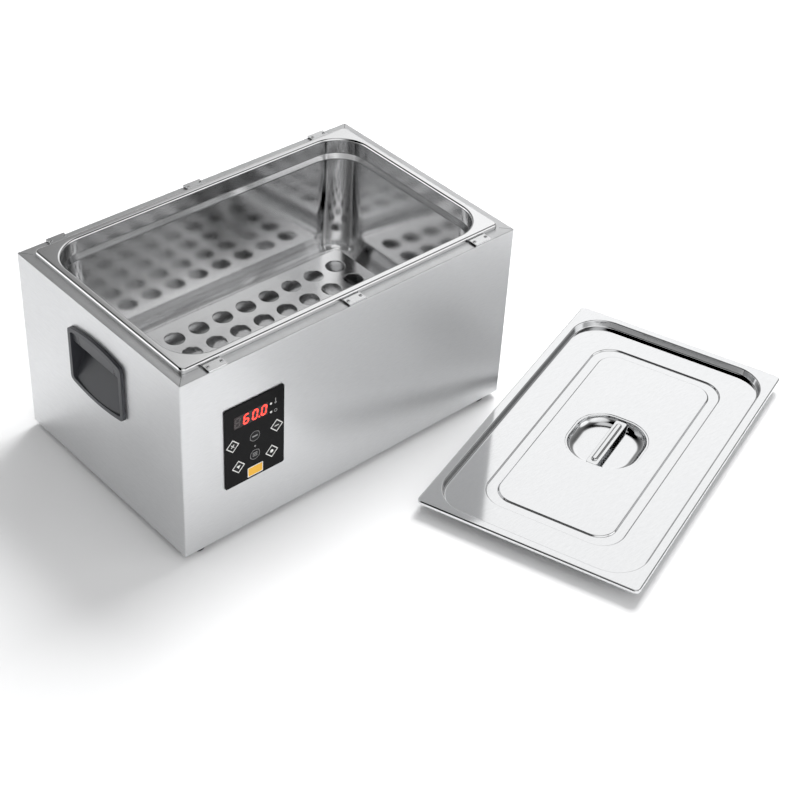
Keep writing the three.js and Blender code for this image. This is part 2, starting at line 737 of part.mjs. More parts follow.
// A saddle of bent sheet that holds the probe against the tank floor.
function probeClip() {
  const inner = PROBE_RADIUS + GAP;
  const outer = inner + 1.2;
  const low = PROBE_Z - outer;
  const section = polygon([
    [-outer - 7, PAD_TOP - 1.2], [-outer, PAD_TOP - 1.2], [-outer, low], [outer, low],
    [outer, PAD_TOP - 1.2], [outer + 7, PAD_TOP - 1.2], [outer + 7, PAD_TOP], [inner, PAD_TOP],
    [inner, low + 1.2], [-inner, low + 1.2], [-inner, PAD_TOP], [-outer - 7, PAD_TOP],
  ]);
  return prismY(section, -8, 8).translate(-SENSOR_X, 0, 0);
}

add('probe_clip', probeClip(), zincSteel);

function safetyThermostat() {
  const body = disc(SENSOR_X, 0, 8, PAD_TOP - 9, PAD_TOP, 20);
  const base = disc(SENSOR_X, 0, 6, PAD_TOP - 12, PAD_TOP - 8, 20);
  const tabs = [-4, 4].map((y) => block(
    SENSOR_X - 3, SENSOR_X + 3, y - 0.4, y + 0.4, PAD_TOP - 19, PAD_TOP - 11));
  return join(body, base, ...tabs);
}

add('safety_thermostat', safetyThermostat(), blackPlastic);

// ---------------------------------------------------------------- power electronics on the base plate

const BASE_SEAT = BASE_TOP + GAP;
const POWER_LOW = BASE_SEAT + 8;
const POWER_X = 62;
const POWER_Y = 48;

function powerBoard() {
  const sheet = block(-POWER_X, POWER_X, -POWER_Y, POWER_Y, POWER_LOW, POWER_LOW + 1.6);
  const top = POWER_LOW + 1.4;
  const posts = [-1, 1].flatMap((sx) => [-1, 1].map((sy) => disc(
    sx * (POWER_X - 6), sy * (POWER_Y - 6), 3, BASE_SEAT, POWER_LOW + 0.2, 6)));
  const transformer = block(-46, -8, -20, 14, top, top + 30);
  const capacitor = disc(20, 22, 9, top, top + 28, 14);
  const sink = block(30, 50, -34, 4, top, top + 24);
  const relay = block(2, 22, -34, -18, top, top + 16);
  return join(sheet, ...posts, transformer, capacitor, sink, relay);
}

add('power_board', powerBoard(), circuitBoard);

function heaterRelay() {
  const body = block(104, 148, -30, 28, BASE_SEAT, BASE_SEAT + 22);
  const screws = [-20, 18].map((y) => disc(126, y, 4, BASE_SEAT + 21, BASE_SEAT + 25, 6));
  return join(body, ...screws);
}

add('heater_relay', heaterRelay(), whitePlastic);

function terminalBlock() {
  const body = block(140, 180, 96, 114, BASE_SEAT, BASE_SEAT + 17);
  const wells = [148, 160, 172].map((x) => disc(x, 105, 2.6, BASE_SEAT + 9, BASE_SEAT + 20, 10));
  return cut(body, ...wells);
}

add('terminal_block', terminalBlock(), whitePlastic);

add('earth_stud', turned(160, 74, [
  [0, BASE_SEAT], [4.6, BASE_SEAT], [4.6, BASE_SEAT + 4], [2, BASE_SEAT + 4], [2, BASE_SEAT + 14],
  [0, BASE_SEAT + 14],
], 6), brass);

// ---------------------------------------------------------------- mains inlet, rocker and fuse drawer

const INLET_FACE = CASE_Y + GAP + 2.5;
const INLET_BACK = 152;
const SOCKET = { halfWidth: 12.3, halfHeight: 8.3, depth: 17 };
const ROCKER = { halfWidth: 11, halfHeight: 6.5 };
const DRAWER = { halfWidth: 10.9, halfHeight: 5.9 };
const FUSE_BAY_LENGTH = 20.2;    // for a 20 mm fuse
const ROCKER_TILT = 8 * Math.PI / 180;
const ROCKER_PIVOT_Y = CASE_Y - 0.8;

function mainsInlet() {
  const flange = prismY(roundedRectangle(
    INLET_X - INLET_HALF_WIDTH - 8, INLET_X + INLET_HALF_WIDTH + 8, INLET_LOW - 4, INLET_HIGH + 3, 3,
  ), CASE_Y + GAP, INLET_FACE, 4);
  const body = block(
    INLET_X - INLET_HALF_WIDTH, INLET_X + INLET_HALF_WIDTH, INLET_BACK, CASE_Y + 1, INLET_LOW, INLET_HIGH);
  const { halfWidth, halfHeight, depth } = SOCKET;
  const chamfer = 5;
  const socket = prismY(polygon([
    [INLET_X - halfWidth, INLET_Z - halfHeight],
    [INLET_X + halfWidth, INLET_Z - halfHeight],
    [INLET_X + halfWidth, INLET_Z + halfHeight - chamfer],
    [INLET_X + halfWidth - chamfer, INLET_Z + halfHeight],
    [INLET_X - halfWidth + chamfer, INLET_Z + halfHeight],
    [INLET_X - halfWidth, INLET_Z + halfHeight - chamfer],
  ]), INLET_FACE - depth, INLET_FACE + 1);
  const rockerWell = block(
    INLET_X - ROCKER.halfWidth, INLET_X + ROCKER.halfWidth, INLET_FACE - 14, INLET_FACE + 1,
    ROCKER_Z - ROCKER.halfHeight, ROCKER_Z + ROCKER.halfHeight);
  const drawerWell = block(
    INLET_X - DRAWER.halfWidth, INLET_X + DRAWER.halfWidth, INLET_FACE - 24, INLET_FACE + 1,
    DRAWER_Z - DRAWER.halfHeight, DRAWER_Z + DRAWER.halfHeight);
  const pins = [[-7, -2], [0, 2], [7, -2]].map(([dx, dz]) => block(
    INLET_X + dx - 1, INLET_X + dx + 1, INLET_FACE - depth - 1, INLET_FACE - 3,
    INLET_Z + dz - 2, INLET_Z + dz + 2));
  return join(cut(join(flange, body), socket, rockerWell, drawerWell), ...pins);
}

add('mains_inlet', mainsInlet(), blackPlastic);

// The rocker stands tipped to its "on" side and turns about a vertical pin.
function powerRocker() {
  const half = ROCKER.halfWidth - 0.9;
  const height = ROCKER.halfHeight - GAP;
  const section = polygon([[-half, -4], [half, -4], [half, 2.4], [0, 1.2], [-half, 2.4]]);
  const rocker = prismZ(section, ROCKER_Z - height, ROCKER_Z + height);
  return rocker.rotateZ(ROCKER_TILT).translate(INLET_X, ROCKER_PIVOT_Y, 0);
}

add('power_rocker', powerRocker(), blackPlastic);

function fuseDrawer() {
  const half = DRAWER.halfWidth - GAP;
  const height = DRAWER.halfHeight - GAP;
  const top = DRAWER_Z + height;
  const body = block(
    INLET_X - half, INLET_X + half, INLET_FACE - 22, INLET_FACE + 0.6, DRAWER_Z - height, top);
  const lip = block(INLET_X - 6, INLET_X + 6, INLET_FACE, INLET_FACE + 2.6, top - 2, top);
  const fuseBay = block(
    INLET_X - half + 2, INLET_X + half - 2, INLET_FACE - 1 - FUSE_BAY_LENGTH, INLET_FACE - 1,
    DRAWER_Z - height + 2, top + 1);
  return join(cut(body, fuseBay), lip);
}

add('fuse_drawer', fuseDrawer(), blackPlastic);

// ---------------------------------------------------------------- inner wiring

const WIRES = [
  ['wire_mains', 3, wireGrey, [
    [INLET_X, INLET_BACK - GAP, 50], [INLET_X, 140, 50], [206, 116, 40], [200, 106, 24],
    [190, 105, 21], [180.4, 105, 21]]],
  ['wire_heater', 1.3, siliconeRed, [
    [126, 28.4, 31], [126, 36, 31], [134, 48, 42], [160, 44, 66], [180, 30, 86], [178, 19, 95],
    [173, 16, 95.7], [168.4, 16, 95.7]]],
  ['wire_probe', 1.8, wireGrey, [
    [-SENSOR_X, PROBE_HALF_LENGTH + GAP, PROBE_Z], [-SENSOR_X, 50, PROBE_Z], [-178, 62, 84],
    [-150, 66, 60], [-110, 54, 36], [-74, 34, 25], [-62.6, 34, 24.8]]],
  ['wire_panel', 3, wireGrey, [
    [-166, -162.7, 99.6], [-166, -162.7, 90], [-160, -150, 60], [-126, -104, 38], [-84, -36, 27],
    [-62.6, -36, 26]]],
  ['wire_thermostat', 1.6, wireGrey, [
    [SENSOR_X, 4, 77.8], [SENSOR_X, 4, 70], [180, 14, 54], [168, 24, 36], [158, 24, 31], [148.4, 24, 31]]],
];

WIRES.forEach(([name, radius, material, points]) => add(name, tube(points, radius), material));

// ---------------------------------------------------------------- lid

const LID_DISH_X = 59;
const LID_DISH_Y = 55.5;
const LID_RING_OUTER = 60;       // inset of the pressed ring from the lid's edge
const LID_RING_WIDTH = 17;
const LID_STEP = 12.5;           // inset of the step down from the rim

function lidProfile() {
  const edge = { x: GN_LENGTH / 2, y: GN_WIDTH / 2 };
  const inset = (by, r, z) => ({ x: edge.x - by, y: edge.y - by, r, z });
  const dish = (by, z) => ({ x: LID_DISH_X - by, y: LID_DISH_Y - by, r: 46 - by, z });
  const bowlDepth = LID_PANEL - 1.2 - LID_SHEET;
  const bowl = [0, 1, 2, 3].map((step) => {
    const angle = step / 3 * Math.PI / 2;
    return dish(4 + 16 * (1 - Math.sin(angle)), LID_SHEET + bowlDepth * (1 - Math.cos(angle)));
  });
  const ringInner = LID_RING_OUTER + LID_RING_WIDTH;
  return [
    ...bowl,
    dish(1, LID_PANEL - 0.8),
    dish(0, LID_PANEL),
    inset(ringInner, 27, LID_PANEL),
    inset(ringInner - 1.6, 28.6, LID_GROOVE),
    inset(LID_RING_OUTER + 1.6, 35, LID_GROOVE),
    inset(LID_RING_OUTER, 36.6, LID_PANEL),
    inset(LID_STEP + 4.5, 47, LID_PANEL),
    inset(LID_STEP + 2, 48.5, LID_PANEL + 2.2),
    inset(LID_STEP + 0.8, 49.5, LID_RIM_TOP - 1.2),
    inset(LID_STEP - 0.8, 51, LID_RIM_TOP),
    inset(2, 6, LID_RIM_TOP),
    inset(0, 8, LID_RIM_TOP - 2),
    inset(0, 8, LID_RIM_TOP - 4.5),
  ];
}

add('lid_pressing', pressing(lidProfile(), LID_SHEET), polishedSteel, lid);

// The grip is a strap across the dish with a raised rib along it.
function lidGrip() {
  const half = LID_DISH_X - 5.5;
  const strapLow = LID_PANEL - 4.2;
  const strap = prismZ(roundedRectangle(-half, half, -8.5, 8.5, 3), strapLow, strapLow + 1.4, 3);
  const ribOutline = roundedRectangle(-half + 7, half - 7, -4.5, 4.5, 4.4);
  const rib = prismZ(ribOutline, strapLow + 1.2, LID_PANEL - 0.2, 4);
  return join(strap, rib);
}

add('lid_grip', lidGrip(), polishedSteel, lid);

// ---------------------------------------------------------------- whole object

lid.position.set(LID_CENTRE[0], LID_CENTRE[1], 0);
lid.rotation.z = LID_TURN;

const layout = new THREE.Group();
layout.add(bath, lid);
layout.updateMatrixWorld(true);
const span = new THREE.Box3().setFromObject(layout, true);
layout.position.set(-(span.min.x + span.max.x) / 2, -(span.min.y + span.max.y) / 2, 0);

const root = new THREE.Group();
root.add(layout);
root.updateMatrixWorld(true);

export default root;
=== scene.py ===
import json
import math

import bmesh
import bpy
from mathutils import Matrix, Vector


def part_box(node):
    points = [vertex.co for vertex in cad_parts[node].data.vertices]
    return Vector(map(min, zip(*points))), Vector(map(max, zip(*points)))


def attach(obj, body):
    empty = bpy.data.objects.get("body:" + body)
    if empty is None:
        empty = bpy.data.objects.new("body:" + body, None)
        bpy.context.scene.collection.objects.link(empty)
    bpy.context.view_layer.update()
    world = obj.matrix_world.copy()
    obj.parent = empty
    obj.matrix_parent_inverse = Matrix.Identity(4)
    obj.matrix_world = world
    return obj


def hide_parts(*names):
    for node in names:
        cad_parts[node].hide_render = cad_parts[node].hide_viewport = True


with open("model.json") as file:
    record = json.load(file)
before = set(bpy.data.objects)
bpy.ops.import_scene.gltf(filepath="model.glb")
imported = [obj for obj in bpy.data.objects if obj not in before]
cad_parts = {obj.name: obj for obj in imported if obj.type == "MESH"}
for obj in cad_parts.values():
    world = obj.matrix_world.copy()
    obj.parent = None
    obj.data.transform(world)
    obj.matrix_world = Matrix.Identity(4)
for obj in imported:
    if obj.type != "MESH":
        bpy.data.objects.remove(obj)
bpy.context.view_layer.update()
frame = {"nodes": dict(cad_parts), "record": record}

# A stainless sous vide water bath with its loose lid beside it.
#
# Shapes are written in the bath's own millimetres: zero at the middle of the casing on the floor, +X to the
# right, +Y to the back, +Z up. The lid has its own zero, under its middle. BATH and LID carry both into the
# shared frame.
MM = 0.001
LID_TURN = math.radians(18.8)


def on_floor(node):
    low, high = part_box(node)
    middle = (low + high) / 2
    return Matrix.Translation((middle.x, middle.y, 0)) @ Matrix.Scale(MM, 4)


BATH = on_floor("water_tank")
LID = on_floor("lid_pressing") @ Matrix.Rotation(LID_TURN, 4, "Z")


# ---------------------------------------------------------------- outlines and profiles

def arc(cu, cv, radius, start, end, steps):
    angles = [math.radians(start + (end - start) * k / steps) for k in range(steps + 1)]
    return [(cu + radius * math.cos(a), cv + radius * math.sin(a)) for a in angles]


def circle(cu, cv, radius, sides=32):
    return arc(cu, cv, radius, 0, 360, sides)[:-1]


def rounded_outline(x, y, radius, steps=12, cu=0.0, cv=0.0):
    points = []
    for corner in range(4):
        mid_u = cu + (x - radius) * (1 if corner in (0, 3) else -1)
        mid_v = cv + (y - radius) * (1 if corner < 2 else -1)
        points += arc(mid_u, mid_v, radius, corner * 90, corner * 90 + 90, steps)
    return points


def curve_through(p0, pull, p1, steps):
    result = []
    for k in range(1, steps + 1):
        t = k / steps
        weights = ((1 - t) ** 2, 2 * t * (1 - t), t * t)
        result.append(tuple(sum(w * p[axis] for w, p in zip(weights, (p0, pull, p1))) for axis in (0, 1)))
    return result


def eased(points, step_angle=15):
    """A polyline of (u, v, fillet radius) with its corners rounded."""
    result = []
    for index, (u, v, radius) in enumerate(points):
        if not radius or index in (0, len(points) - 1):
            result.append((u, v))
            continue
        here = Vector((u, v))
        back = (Vector(points[index - 1][:2]) - here).normalized()
        ahead = (Vector(points[index + 1][:2]) - here).normalized()
        half = back.angle(ahead) / 2
        centre = here + (back + ahead).normalized() * radius / math.sin(half)
        start = here + back * radius / math.tan(half) - centre
        end = here + ahead * radius / math.tan(half) - centre
        a0 = math.atan2(start.y, start.x)
        turn = (math.atan2(end.y, end.x) - a0 + math.pi) % (2 * math.pi) - math.pi
        steps = max(2, math.ceil(abs(math.degrees(turn)) / step_angle))
        for k in range(steps + 1):
            angle = a0 + turn * k / steps
            result.append((centre.x + radius * math.cos(angle), centre.y + radius * math.sin(angle)))
    return result


def between(table, value):
    """Straight-line interpolation in a table of (key, value) pairs sorted by key."""
    for (k0, v0), (k1, v1) in zip(table, table[1:]):
        if value <= k1:
            return v0 + (v1 - v0) * max(0.0, (value - k0) / (k1 - k0))
    return table[-1][1]


# ---------------------------------------------------------------- meshes

# Where a point (u, v) of an outline and its height along the named axis belong in (x, y, z).
PLACED = {
    "z": lambda u, v, height: (u, v, height),
    "y": lambda u, v, height: (u, height, v),
    "x": lambda u, v, height: (height, u, v),
}


def lofted(rings, first=True, last=True):
    count = len(rings[0])
    verts = [p for ring in rings for p in ring]
    faces = []
    for i in range(len(rings) - 1):
        for k in range(count):
            a, b = i * count + k, i * count + (k + 1) % count
            faces.append((a, b, b + count, a + count))
    if first:
        faces.append(tuple(range(count)))
    if last:
        faces.append(tuple(range((len(rings) - 1) * count, len(rings) * count)))
    return verts, faces


def prism(outline, low, high, axis="z"):
    """An outline in XY, XZ or YZ carried between two planes of the third axis."""
    return lofted([[PLACED[axis](u, v, height) for u, v in outline] for height in (low, high)])


def band(outer, inner, low, high, axis="y"):
    """A flat closed frame between two outlines with the same number of points."""
    loops = [(outer, low), (outer, high), (inner, high), (inner, low), (outer, low)]
    rings = [[PLACED[axis](u, v, height) for u, v in outline] for outline, height in loops]
    return lofted(rings, first=False, last=False)


def turned(profile, sides=32, at=(0, 0, 0), axis="z"):
    """A solid of revolution from (radius, height) pairs; both ends are closed."""
    rings = []
    for radius, height in profile:
        ring = [PLACED[axis](u, v, height) for u, v in circle(0, 0, radius, sides)]
        rings.append([tuple(p + o for p, o in zip(point, at)) for point in ring])
    return lofted(rings)


def merged(*parts):
    verts, faces = [], []
    for part_verts, part_faces in parts:
        base = len(verts)
        verts += part_verts
        faces += [tuple(i + base for i in face) for face in part_faces]
    return verts, faces


def turned_half(part):
    """The same part turned half a turn about the bath's middle."""
    return [(-x, -y, z) for x, y, z in part[0]], part[1]


def linked(name, data):
    """A new object in the scene."""
    obj = bpy.data.objects.new(name, data)
    bpy.context.scene.collection.objects.link(obj)
    return obj


WELD = 0.002 * MM
FLAT_WITHIN = math.radians(0.4)


def tidy_mesh(mesh, flatten=False):
    """Welds a mesh and faces it outward; flatten also joins the triangles of each flat face."""
    bm = bmesh.new()
    bm.from_mesh(mesh)
    bmesh.ops.remove_doubles(bm, verts=bm.verts, dist=WELD)
    if flatten:
        bmesh.ops.dissolve_limit(bm, angle_limit=FLAT_WITHIN, verts=bm.verts, edges=bm.edges)
    bmesh.ops.recalc_face_normals(bm, faces=bm.faces)
    bm.to_mesh(mesh)
    bm.free()


def bare_object(name, part, place=BATH):
    """An object from a (vertices, faces) part, with no material or body yet."""
    mesh = bpy.data.meshes.new(name)
    mesh.from_pydata([place @ Vector(v) for v in part[0]], [], part[1])
    tidy_mesh(mesh)
    return linked(name, mesh)


def evaluated_mesh(obj):
    graph = bpy.context.evaluated_depsgraph_get()
    return bpy.data.meshes.new_from_object(obj.evaluated_get(graph))


def baked(obj):
    """Replaces an object's mesh by what its modifiers make of it."""
    mesh = evaluated_mesh(obj)
    obj.modifiers.clear()
    obj.data = mesh
    return obj


def thickened(obj, sheet, even=False):
    """Gives a surface the thickness of its sheet, inward from its outer face."""
    thick = obj.modifiers.new("sheet", "SOLIDIFY")
    thick.thickness = sheet * MM
    thick.offset = -1
    thick.use_even_offset = even
    return baked(obj)


def carved(obj, cutters, operation="DIFFERENCE"):
    for cutter in cutters:
        step = obj.modifiers.new("carve", "BOOLEAN")
        step.operation = operation
        step.solver = "EXACT"
        step.object = cutter
    baked(obj)
    for cutter in cutters:
        bpy.data.objects.remove(cutter)
    return obj


def dressed(obj, material, body="bath", bevel=0.0, segments=3, angle=30, stands_for=(), slot=None,
            smooth=True):
    """Gives a piece its rounded edges, even shading, material and body."""
    obj.data.materials.clear()
    obj.data.materials.append(material)
    if bevel:
        edge = obj.modifiers.new("edges", "BEVEL")
        edge.width = bevel * MM
        edge.segments = segments
        edge.limit_method = "ANGLE"
        edge.angle_limit = math.radians(angle)
        edge.use_clamp_overlap = True
        edge.miter_outer = "MITER_ARC"
    if smooth:
        obj.data.shade_smooth()
        if not bevel:
            obj.data.set_sharp_from_angle(angle=math.radians(angle))
        even = obj.modifiers.new("normals", "WEIGHTED_NORMAL")
        even.weight = 60
        even.keep_sharp = not bevel
    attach(obj, body)
    if stands_for:
        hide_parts(*stands_for)
    return obj


def piece(name, part, material, body="bath", place=BATH, **looks):
    """A finished object from a (vertices, faces) part."""
    return dressed(bare_object(name, part, place), material, body, **looks)


def refined(node, material, body="bath", flatten=True, **looks):
    """A CAD node's own shape with rounded edges; flatten is off where flat faces have openings in them."""
    mesh = frame["nodes"][node].data.copy()
    tidy_mesh(mesh, flatten)
    return dressed(linked(node + "_finished", mesh), material, body, stands_for=(node,), **looks)


def punched(name, outlines, thick, edge, lift):
    """A flat sheet with holes, its edges rounded over by edge; lift is the height of its upper face."""
    curve = bpy.data.curves.new(name, "CURVE")
    curve.dimensions = "2D"
    curve.fill_mode = "BOTH"
    curve.extrude = thick / 2 - edge
    curve.bevel_depth = edge
    curve.bevel_resolution = 2
    curve.offset = -edge
    for outline in outlines:
        spline = curve.splines.new("POLY")
        spline.points.add(len(outline) - 1)
        for point, (u, v) in zip(spline.points, outline):
            point.co = (u, v, 0, 1)
        spline.use_cyclic_u = True
    holder = linked(name + "_outline", curve)
    mesh = evaluated_mesh(holder)
    mesh.transform(BATH @ Matrix.Translation((0, 0, lift - thick / 2)))
    tidy_mesh(mesh)
    bpy.data.objects.remove(holder)
    return linked(name, mesh)


# ---------------------------------------------------------------- materials

ROUGH_LOW, ROUGH_HIGH = 0.88, 1.14      # how far roughness wanders from its middle value


def new_material(name, **sockets):
    """A material whose keyword values are set on the shader's sockets of those names."""
    made = bpy.data.materials.new(name)
    made.use_nodes = True
    shader = made.node_tree.nodes["Principled BSDF"]
    for key, value in sockets.items():
        shader.inputs[key.replace("_", " ")].default_value = value
    return made


def noise_of(made, scale, stretch=(1, 1, 1), detail=4.0, roughness=0.55, turn=(0, 0, 0)):
    """A noise value laid over the object's own coordinates."""
    nodes, links = made.node_tree.nodes, made.node_tree.links
    coordinates = nodes.new("ShaderNodeTexCoord")
    mapping = nodes.new("ShaderNodeMapping")
    mapping.inputs["Scale"].default_value = stretch
    mapping.inputs["Rotation"].default_value = turn
    texture = nodes.new("ShaderNodeTexNoise")
    texture.inputs["Scale"].default_value = scale
    texture.inputs["Detail"].default_value = detail
    texture.inputs["Roughness"].default_value = roughness
    links.new(coordinates.outputs["Object"], mapping.inputs["Vector"])
    links.new(mapping.outputs["Vector"], texture.inputs["Vector"])
    return texture.outputs["Fac"]


def ranged(made, source, low, high, start=0.3, end=0.7):
    """Maps a noise value from start..end to low..high."""
    nodes, links = made.node_tree.nodes, made.node_tree.links
    mapper = nodes.new("ShaderNodeMapRange")
    mapper.inputs["From Min"].default_value = start
    mapper.inputs["From Max"].default_value = end
    mapper.inputs["To Min"].default_value = low
    mapper.inputs["To Max"].default_value = high
    links.new(source, mapper.inputs["Value"])
    return mapper.outputs["Result"]


def coloured(made, source, dark, light, start=0.3, end=0.7):
    """Maps a noise value from start..end to a run between two colours."""
    nodes, links = made.node_tree.nodes, made.node_tree.links
    ramp = nodes.new("ShaderNodeValToRGB")
    ramp.color_ramp.elements[0].position = start
    ramp.color_ramp.elements[0].color = (*dark, 1)
    ramp.color_ramp.elements[1].position = end
    ramp.color_ramp.elements[1].color = (*light, 1)
    links.new(source, ramp.inputs["Fac"])
    return ramp.outputs["Color"]


def drive(made, socket, source):
    shader = made.node_tree.nodes["Principled BSDF"]
    made.node_tree.links.new(source, shader.inputs[socket])


def bumped(made, *layers):
    """Stacks bumps of (source, strength, distance in metres) into the shader's normal."""
    nodes, links = made.node_tree.nodes, made.node_tree.links
    previous = None
    for source, strength, distance in layers:
        bump = nodes.new("ShaderNodeBump")
        bump.inputs["Strength"].default_value = strength
        bump.inputs["Distance"].default_value = distance
        links.new(source, bump.inputs["Height"])
        if previous:
            links.new(previous, bump.inputs["Normal"])
        previous = bump.outputs["Normal"]
    drive(made, "Normal", previous)


def shade(colour, factor):
    return tuple(min(1.0, c * factor) for c in colour)


def steel(name, colour, rough, streak, grain=0.02, wave=0.0, spread=0.04):
    """Stainless sheet. streak is the stretch of the grain, and wave the depth of its slow undulation."""
    made = new_material(name, Metallic=1.0)
    grains = noise_of(made, 1.0, streak, detail=5, roughness=0.7)
    clouds = noise_of(made, 7.0, detail=3)
    drive(made, "Base Color", coloured(made, grains, shade(colour, 1 - spread), shade(colour, 1 + spread)))
    drive(made, "Roughness", ranged(made, clouds, rough * ROUGH_LOW, rough * ROUGH_HIGH))
    layers = [(grains, grain, 0.0004)]
    if wave:
        layers.append((noise_of(made, 9.0, detail=1), wave, 0.004))
    bumped(made, *layers)
    return made


def moulded(name, colour, rough, grain_scale=900, grain=0.08, spread=0.12, **sockets):
    """Moulded plastic, rubber or film with a fine surface grain."""
    made = new_material(name, **sockets)
    grains = noise_of(made, grain_scale, detail=3)
    clouds = noise_of(made, 14.0, detail=4)
    drive(made, "Base Color", coloured(made, clouds, shade(colour, 1 - spread), shade(colour, 1 + spread)))
    drive(made, "Roughness", ranged(made, clouds, rough * ROUGH_LOW, rough * ROUGH_HIGH))
    bumped(made, (grains, grain, 0.0002))
    return made


# Stretches of the grain: level round the casing, along the plate, along the lid, along the heater's clamp
# plate, and even.
HORIZONTAL = (70, 70, 900)
ALONG_Y = (1500, 12, 60)
ALONG_LID = (90, 700, 90)
ALONG_CLAMP = (30, 900, 30)
FINE = (420, 420, 420)

casing_steel = steel("casing_steel", (0.66, 0.665, 0.672), 0.36, HORIZONTAL, grain=0.07, spread=0.05)
clip_steel = steel("clip_steel", (0.66, 0.665, 0.67), 0.22, FINE)
tank_steel = steel("tank_steel", (0.70, 0.702, 0.706), 0.125, FINE, grain=0.01, wave=0.005)
plate_steel = steel("plate_steel", (0.92, 0.922, 0.925), 0.24, ALONG_Y, grain=0.03)
lid_steel = steel("lid_steel", (0.70, 0.705, 0.712), 0.10, ALONG_LID, grain=0.01, wave=0.008)
grip_steel = steel("grip_steel", (0.68, 0.685, 0.69), 0.12, FINE, grain=0.01)
probe_steel = steel("probe_steel", (0.62, 0.62, 0.63), 0.25, FINE)
zinc_steel = steel("zinc_steel", (0.52, 0.55, 0.56), 0.42, FINE, grain=0.05, spread=0.16)
aluminium = steel("clamp_aluminium", (0.70, 0.71, 0.72), 0.38, ALONG_CLAMP, grain=0.05)
brass = steel("brass", (0.62, 0.44, 0.16), 0.28, FINE, spread=0.12)
nickel = steel("pin_nickel", (0.66, 0.63, 0.56), 0.2, FINE, spread=0.06)

foot_rubber = moulded("foot_rubber", (0.018, 0.018, 0.018), 0.75, grain=0.25)
gasket_rubber = moulded("gasket_rubber", (0.014, 0.014, 0.014), 0.7)
handle_plastic = moulded("handle_plastic", (0.040, 0.042, 0.048), 0.40, grain_scale=1400, grain=0.12)
inlet_plastic = moulded("inlet_plastic", (0.014, 0.014, 0.015), 0.38)
panel_film = moulded("panel_film", (0.0035, 0.0035, 0.004), 0.24, grain=0.03, Specular_IOR_Level=0.08)
key_film = moulded("key_film", (0.005, 0.005, 0.0058), 0.3, grain=0.05, Specular_IOR_Level=0.16)
lens_plastic = moulded("lens", (0.012, 0.005, 0.006), 0.12, grain=0.01, Specular_IOR_Level=0.3)
silicone = moulded("silicone", (0.42, 0.07, 0.03), 0.55, grain_scale=500, grain=0.3)
pale_plastic = moulded("pale_plastic", (0.78, 0.76, 0.70), 0.45)
wire_jacket = moulded("wire_jacket", (0.22, 0.22, 0.235), 0.5)
# Painted shade: a near-black material laid into narrow seams, grooves and bores, standing for the shade
# inside them.
painted_gap_shade = moulded("painted_gap_shade", (0.02, 0.02, 0.021), 0.8)
white_ink = moulded("white_ink", (0.80, 0.80, 0.78), 0.5, spread=0.04)
grey_ink = moulded("grey_ink", (0.26, 0.26, 0.26), 0.5, spread=0.06)
amber_ink = moulded("amber_ink", (0.86, 0.46, 0.03), 0.45, spread=0.06)
unlit_segment = moulded("unlit_segment", (0.045, 0.035, 0.035), 0.3)


def glowing(name, colour, strength):
    """A lit display segment."""
    made = new_material(name, Emission_Strength=strength, Roughness=0.3)
    made.node_tree.nodes["Principled BSDF"].inputs["Emission Color"].default_value = (*colour, 1)
    flicker = noise_of(made, 260.0, detail=2)
    drive(made, "Base Color", coloured(made, flicker, shade(colour, 0.7), colour))
    return made


red_segment = glowing("red_segment", (1.0, 0.035, 0.02), 2.6)


def circuit_board():
    made = new_material("board", Roughness=0.38)
    nodes, links = made.node_tree.nodes, made.node_tree.links
    coordinates = nodes.new("ShaderNodeTexCoord")
    tracks = nodes.new("ShaderNodeTexBrick")
    tracks.inputs["Scale"].default_value = 90
    tracks.inputs["Mortar Size"].default_value = 0.06
    tracks.inputs["Color1"].default_value = (0.012, 0.075, 0.035, 1)
    tracks.inputs["Color2"].default_value = (0.010, 0.060, 0.028, 1)
    tracks.inputs["Mortar"].default_value = (0.03, 0.17, 0.07, 1)
    links.new(coordinates.outputs["Object"], tracks.inputs["Vector"])
    drive(made, "Base Color", tracks.outputs["Color"])
    bumped(made, (tracks.outputs["Fac"], 0.3, 0.0001))
    return made


def mineral_wool():
    made = new_material("wool", Roughness=0.95)
    fibres = noise_of(made, 320, (1, 1, 5), detail=6, roughness=0.75)
    drive(made, "Base Color", coloured(made, fibres, (0.42, 0.39, 0.31), (0.78, 0.75, 0.66)))
    bumped(made, (fibres, 0.9, 0.002))
    return made


board = circuit_board()
wool = mineral_wool()

SLOT_MATERIALS = {
    "casing_steel": casing_steel, "clip_steel": clip_steel, "tank_steel": tank_steel,
    "plate_steel": plate_steel, "lid_steel": lid_steel, "zinc_steel": zinc_steel,
    "probe_steel": probe_steel, "clamp_aluminium": aluminium, "brass": brass,
    "foot_rubber": foot_rubber, "gasket_rubber": gasket_rubber, "silicone": silicone,
    "handle_plastic": handle_plastic, "inlet_plastic": inlet_plastic, "pale_plastic": pale_plastic,
    "panel_film": panel_film, "key_film": key_film, "lens": lens_plastic,
    "board": board, "wool": wool, "wire_jacket": wire_jacket,
}
NODE_SLOT = {row["node"]: row["material_slot"] for row in frame["record"]["subparts"]}
NODE_BODY = {node: body for body, nodes in frame["record"]["behaviour"]["bodies"].items() for node in nodes}

for node, obj in frame["nodes"].items():
    obj.data.materials.clear()
    obj.data.materials.append(SLOT_MATERIALS[NODE_SLOT[node]])


# ---------------------------------------------------------------- sizes that the pieces share

CASE_X, CASE_Y = 280.0, 178.75          # half the casing's length and depth
CASE_TOP, CASE_BOTTOM = 290.5, 10.0
SHEET = 1.2                             # steel sheet of the casing and the tank
GN_X, GN_Y = 265.0, 162.5               # half of the gastronorm 1/1 outline
RIM_TOP = 297.5

# ---------------------------------------------------------------- side handles

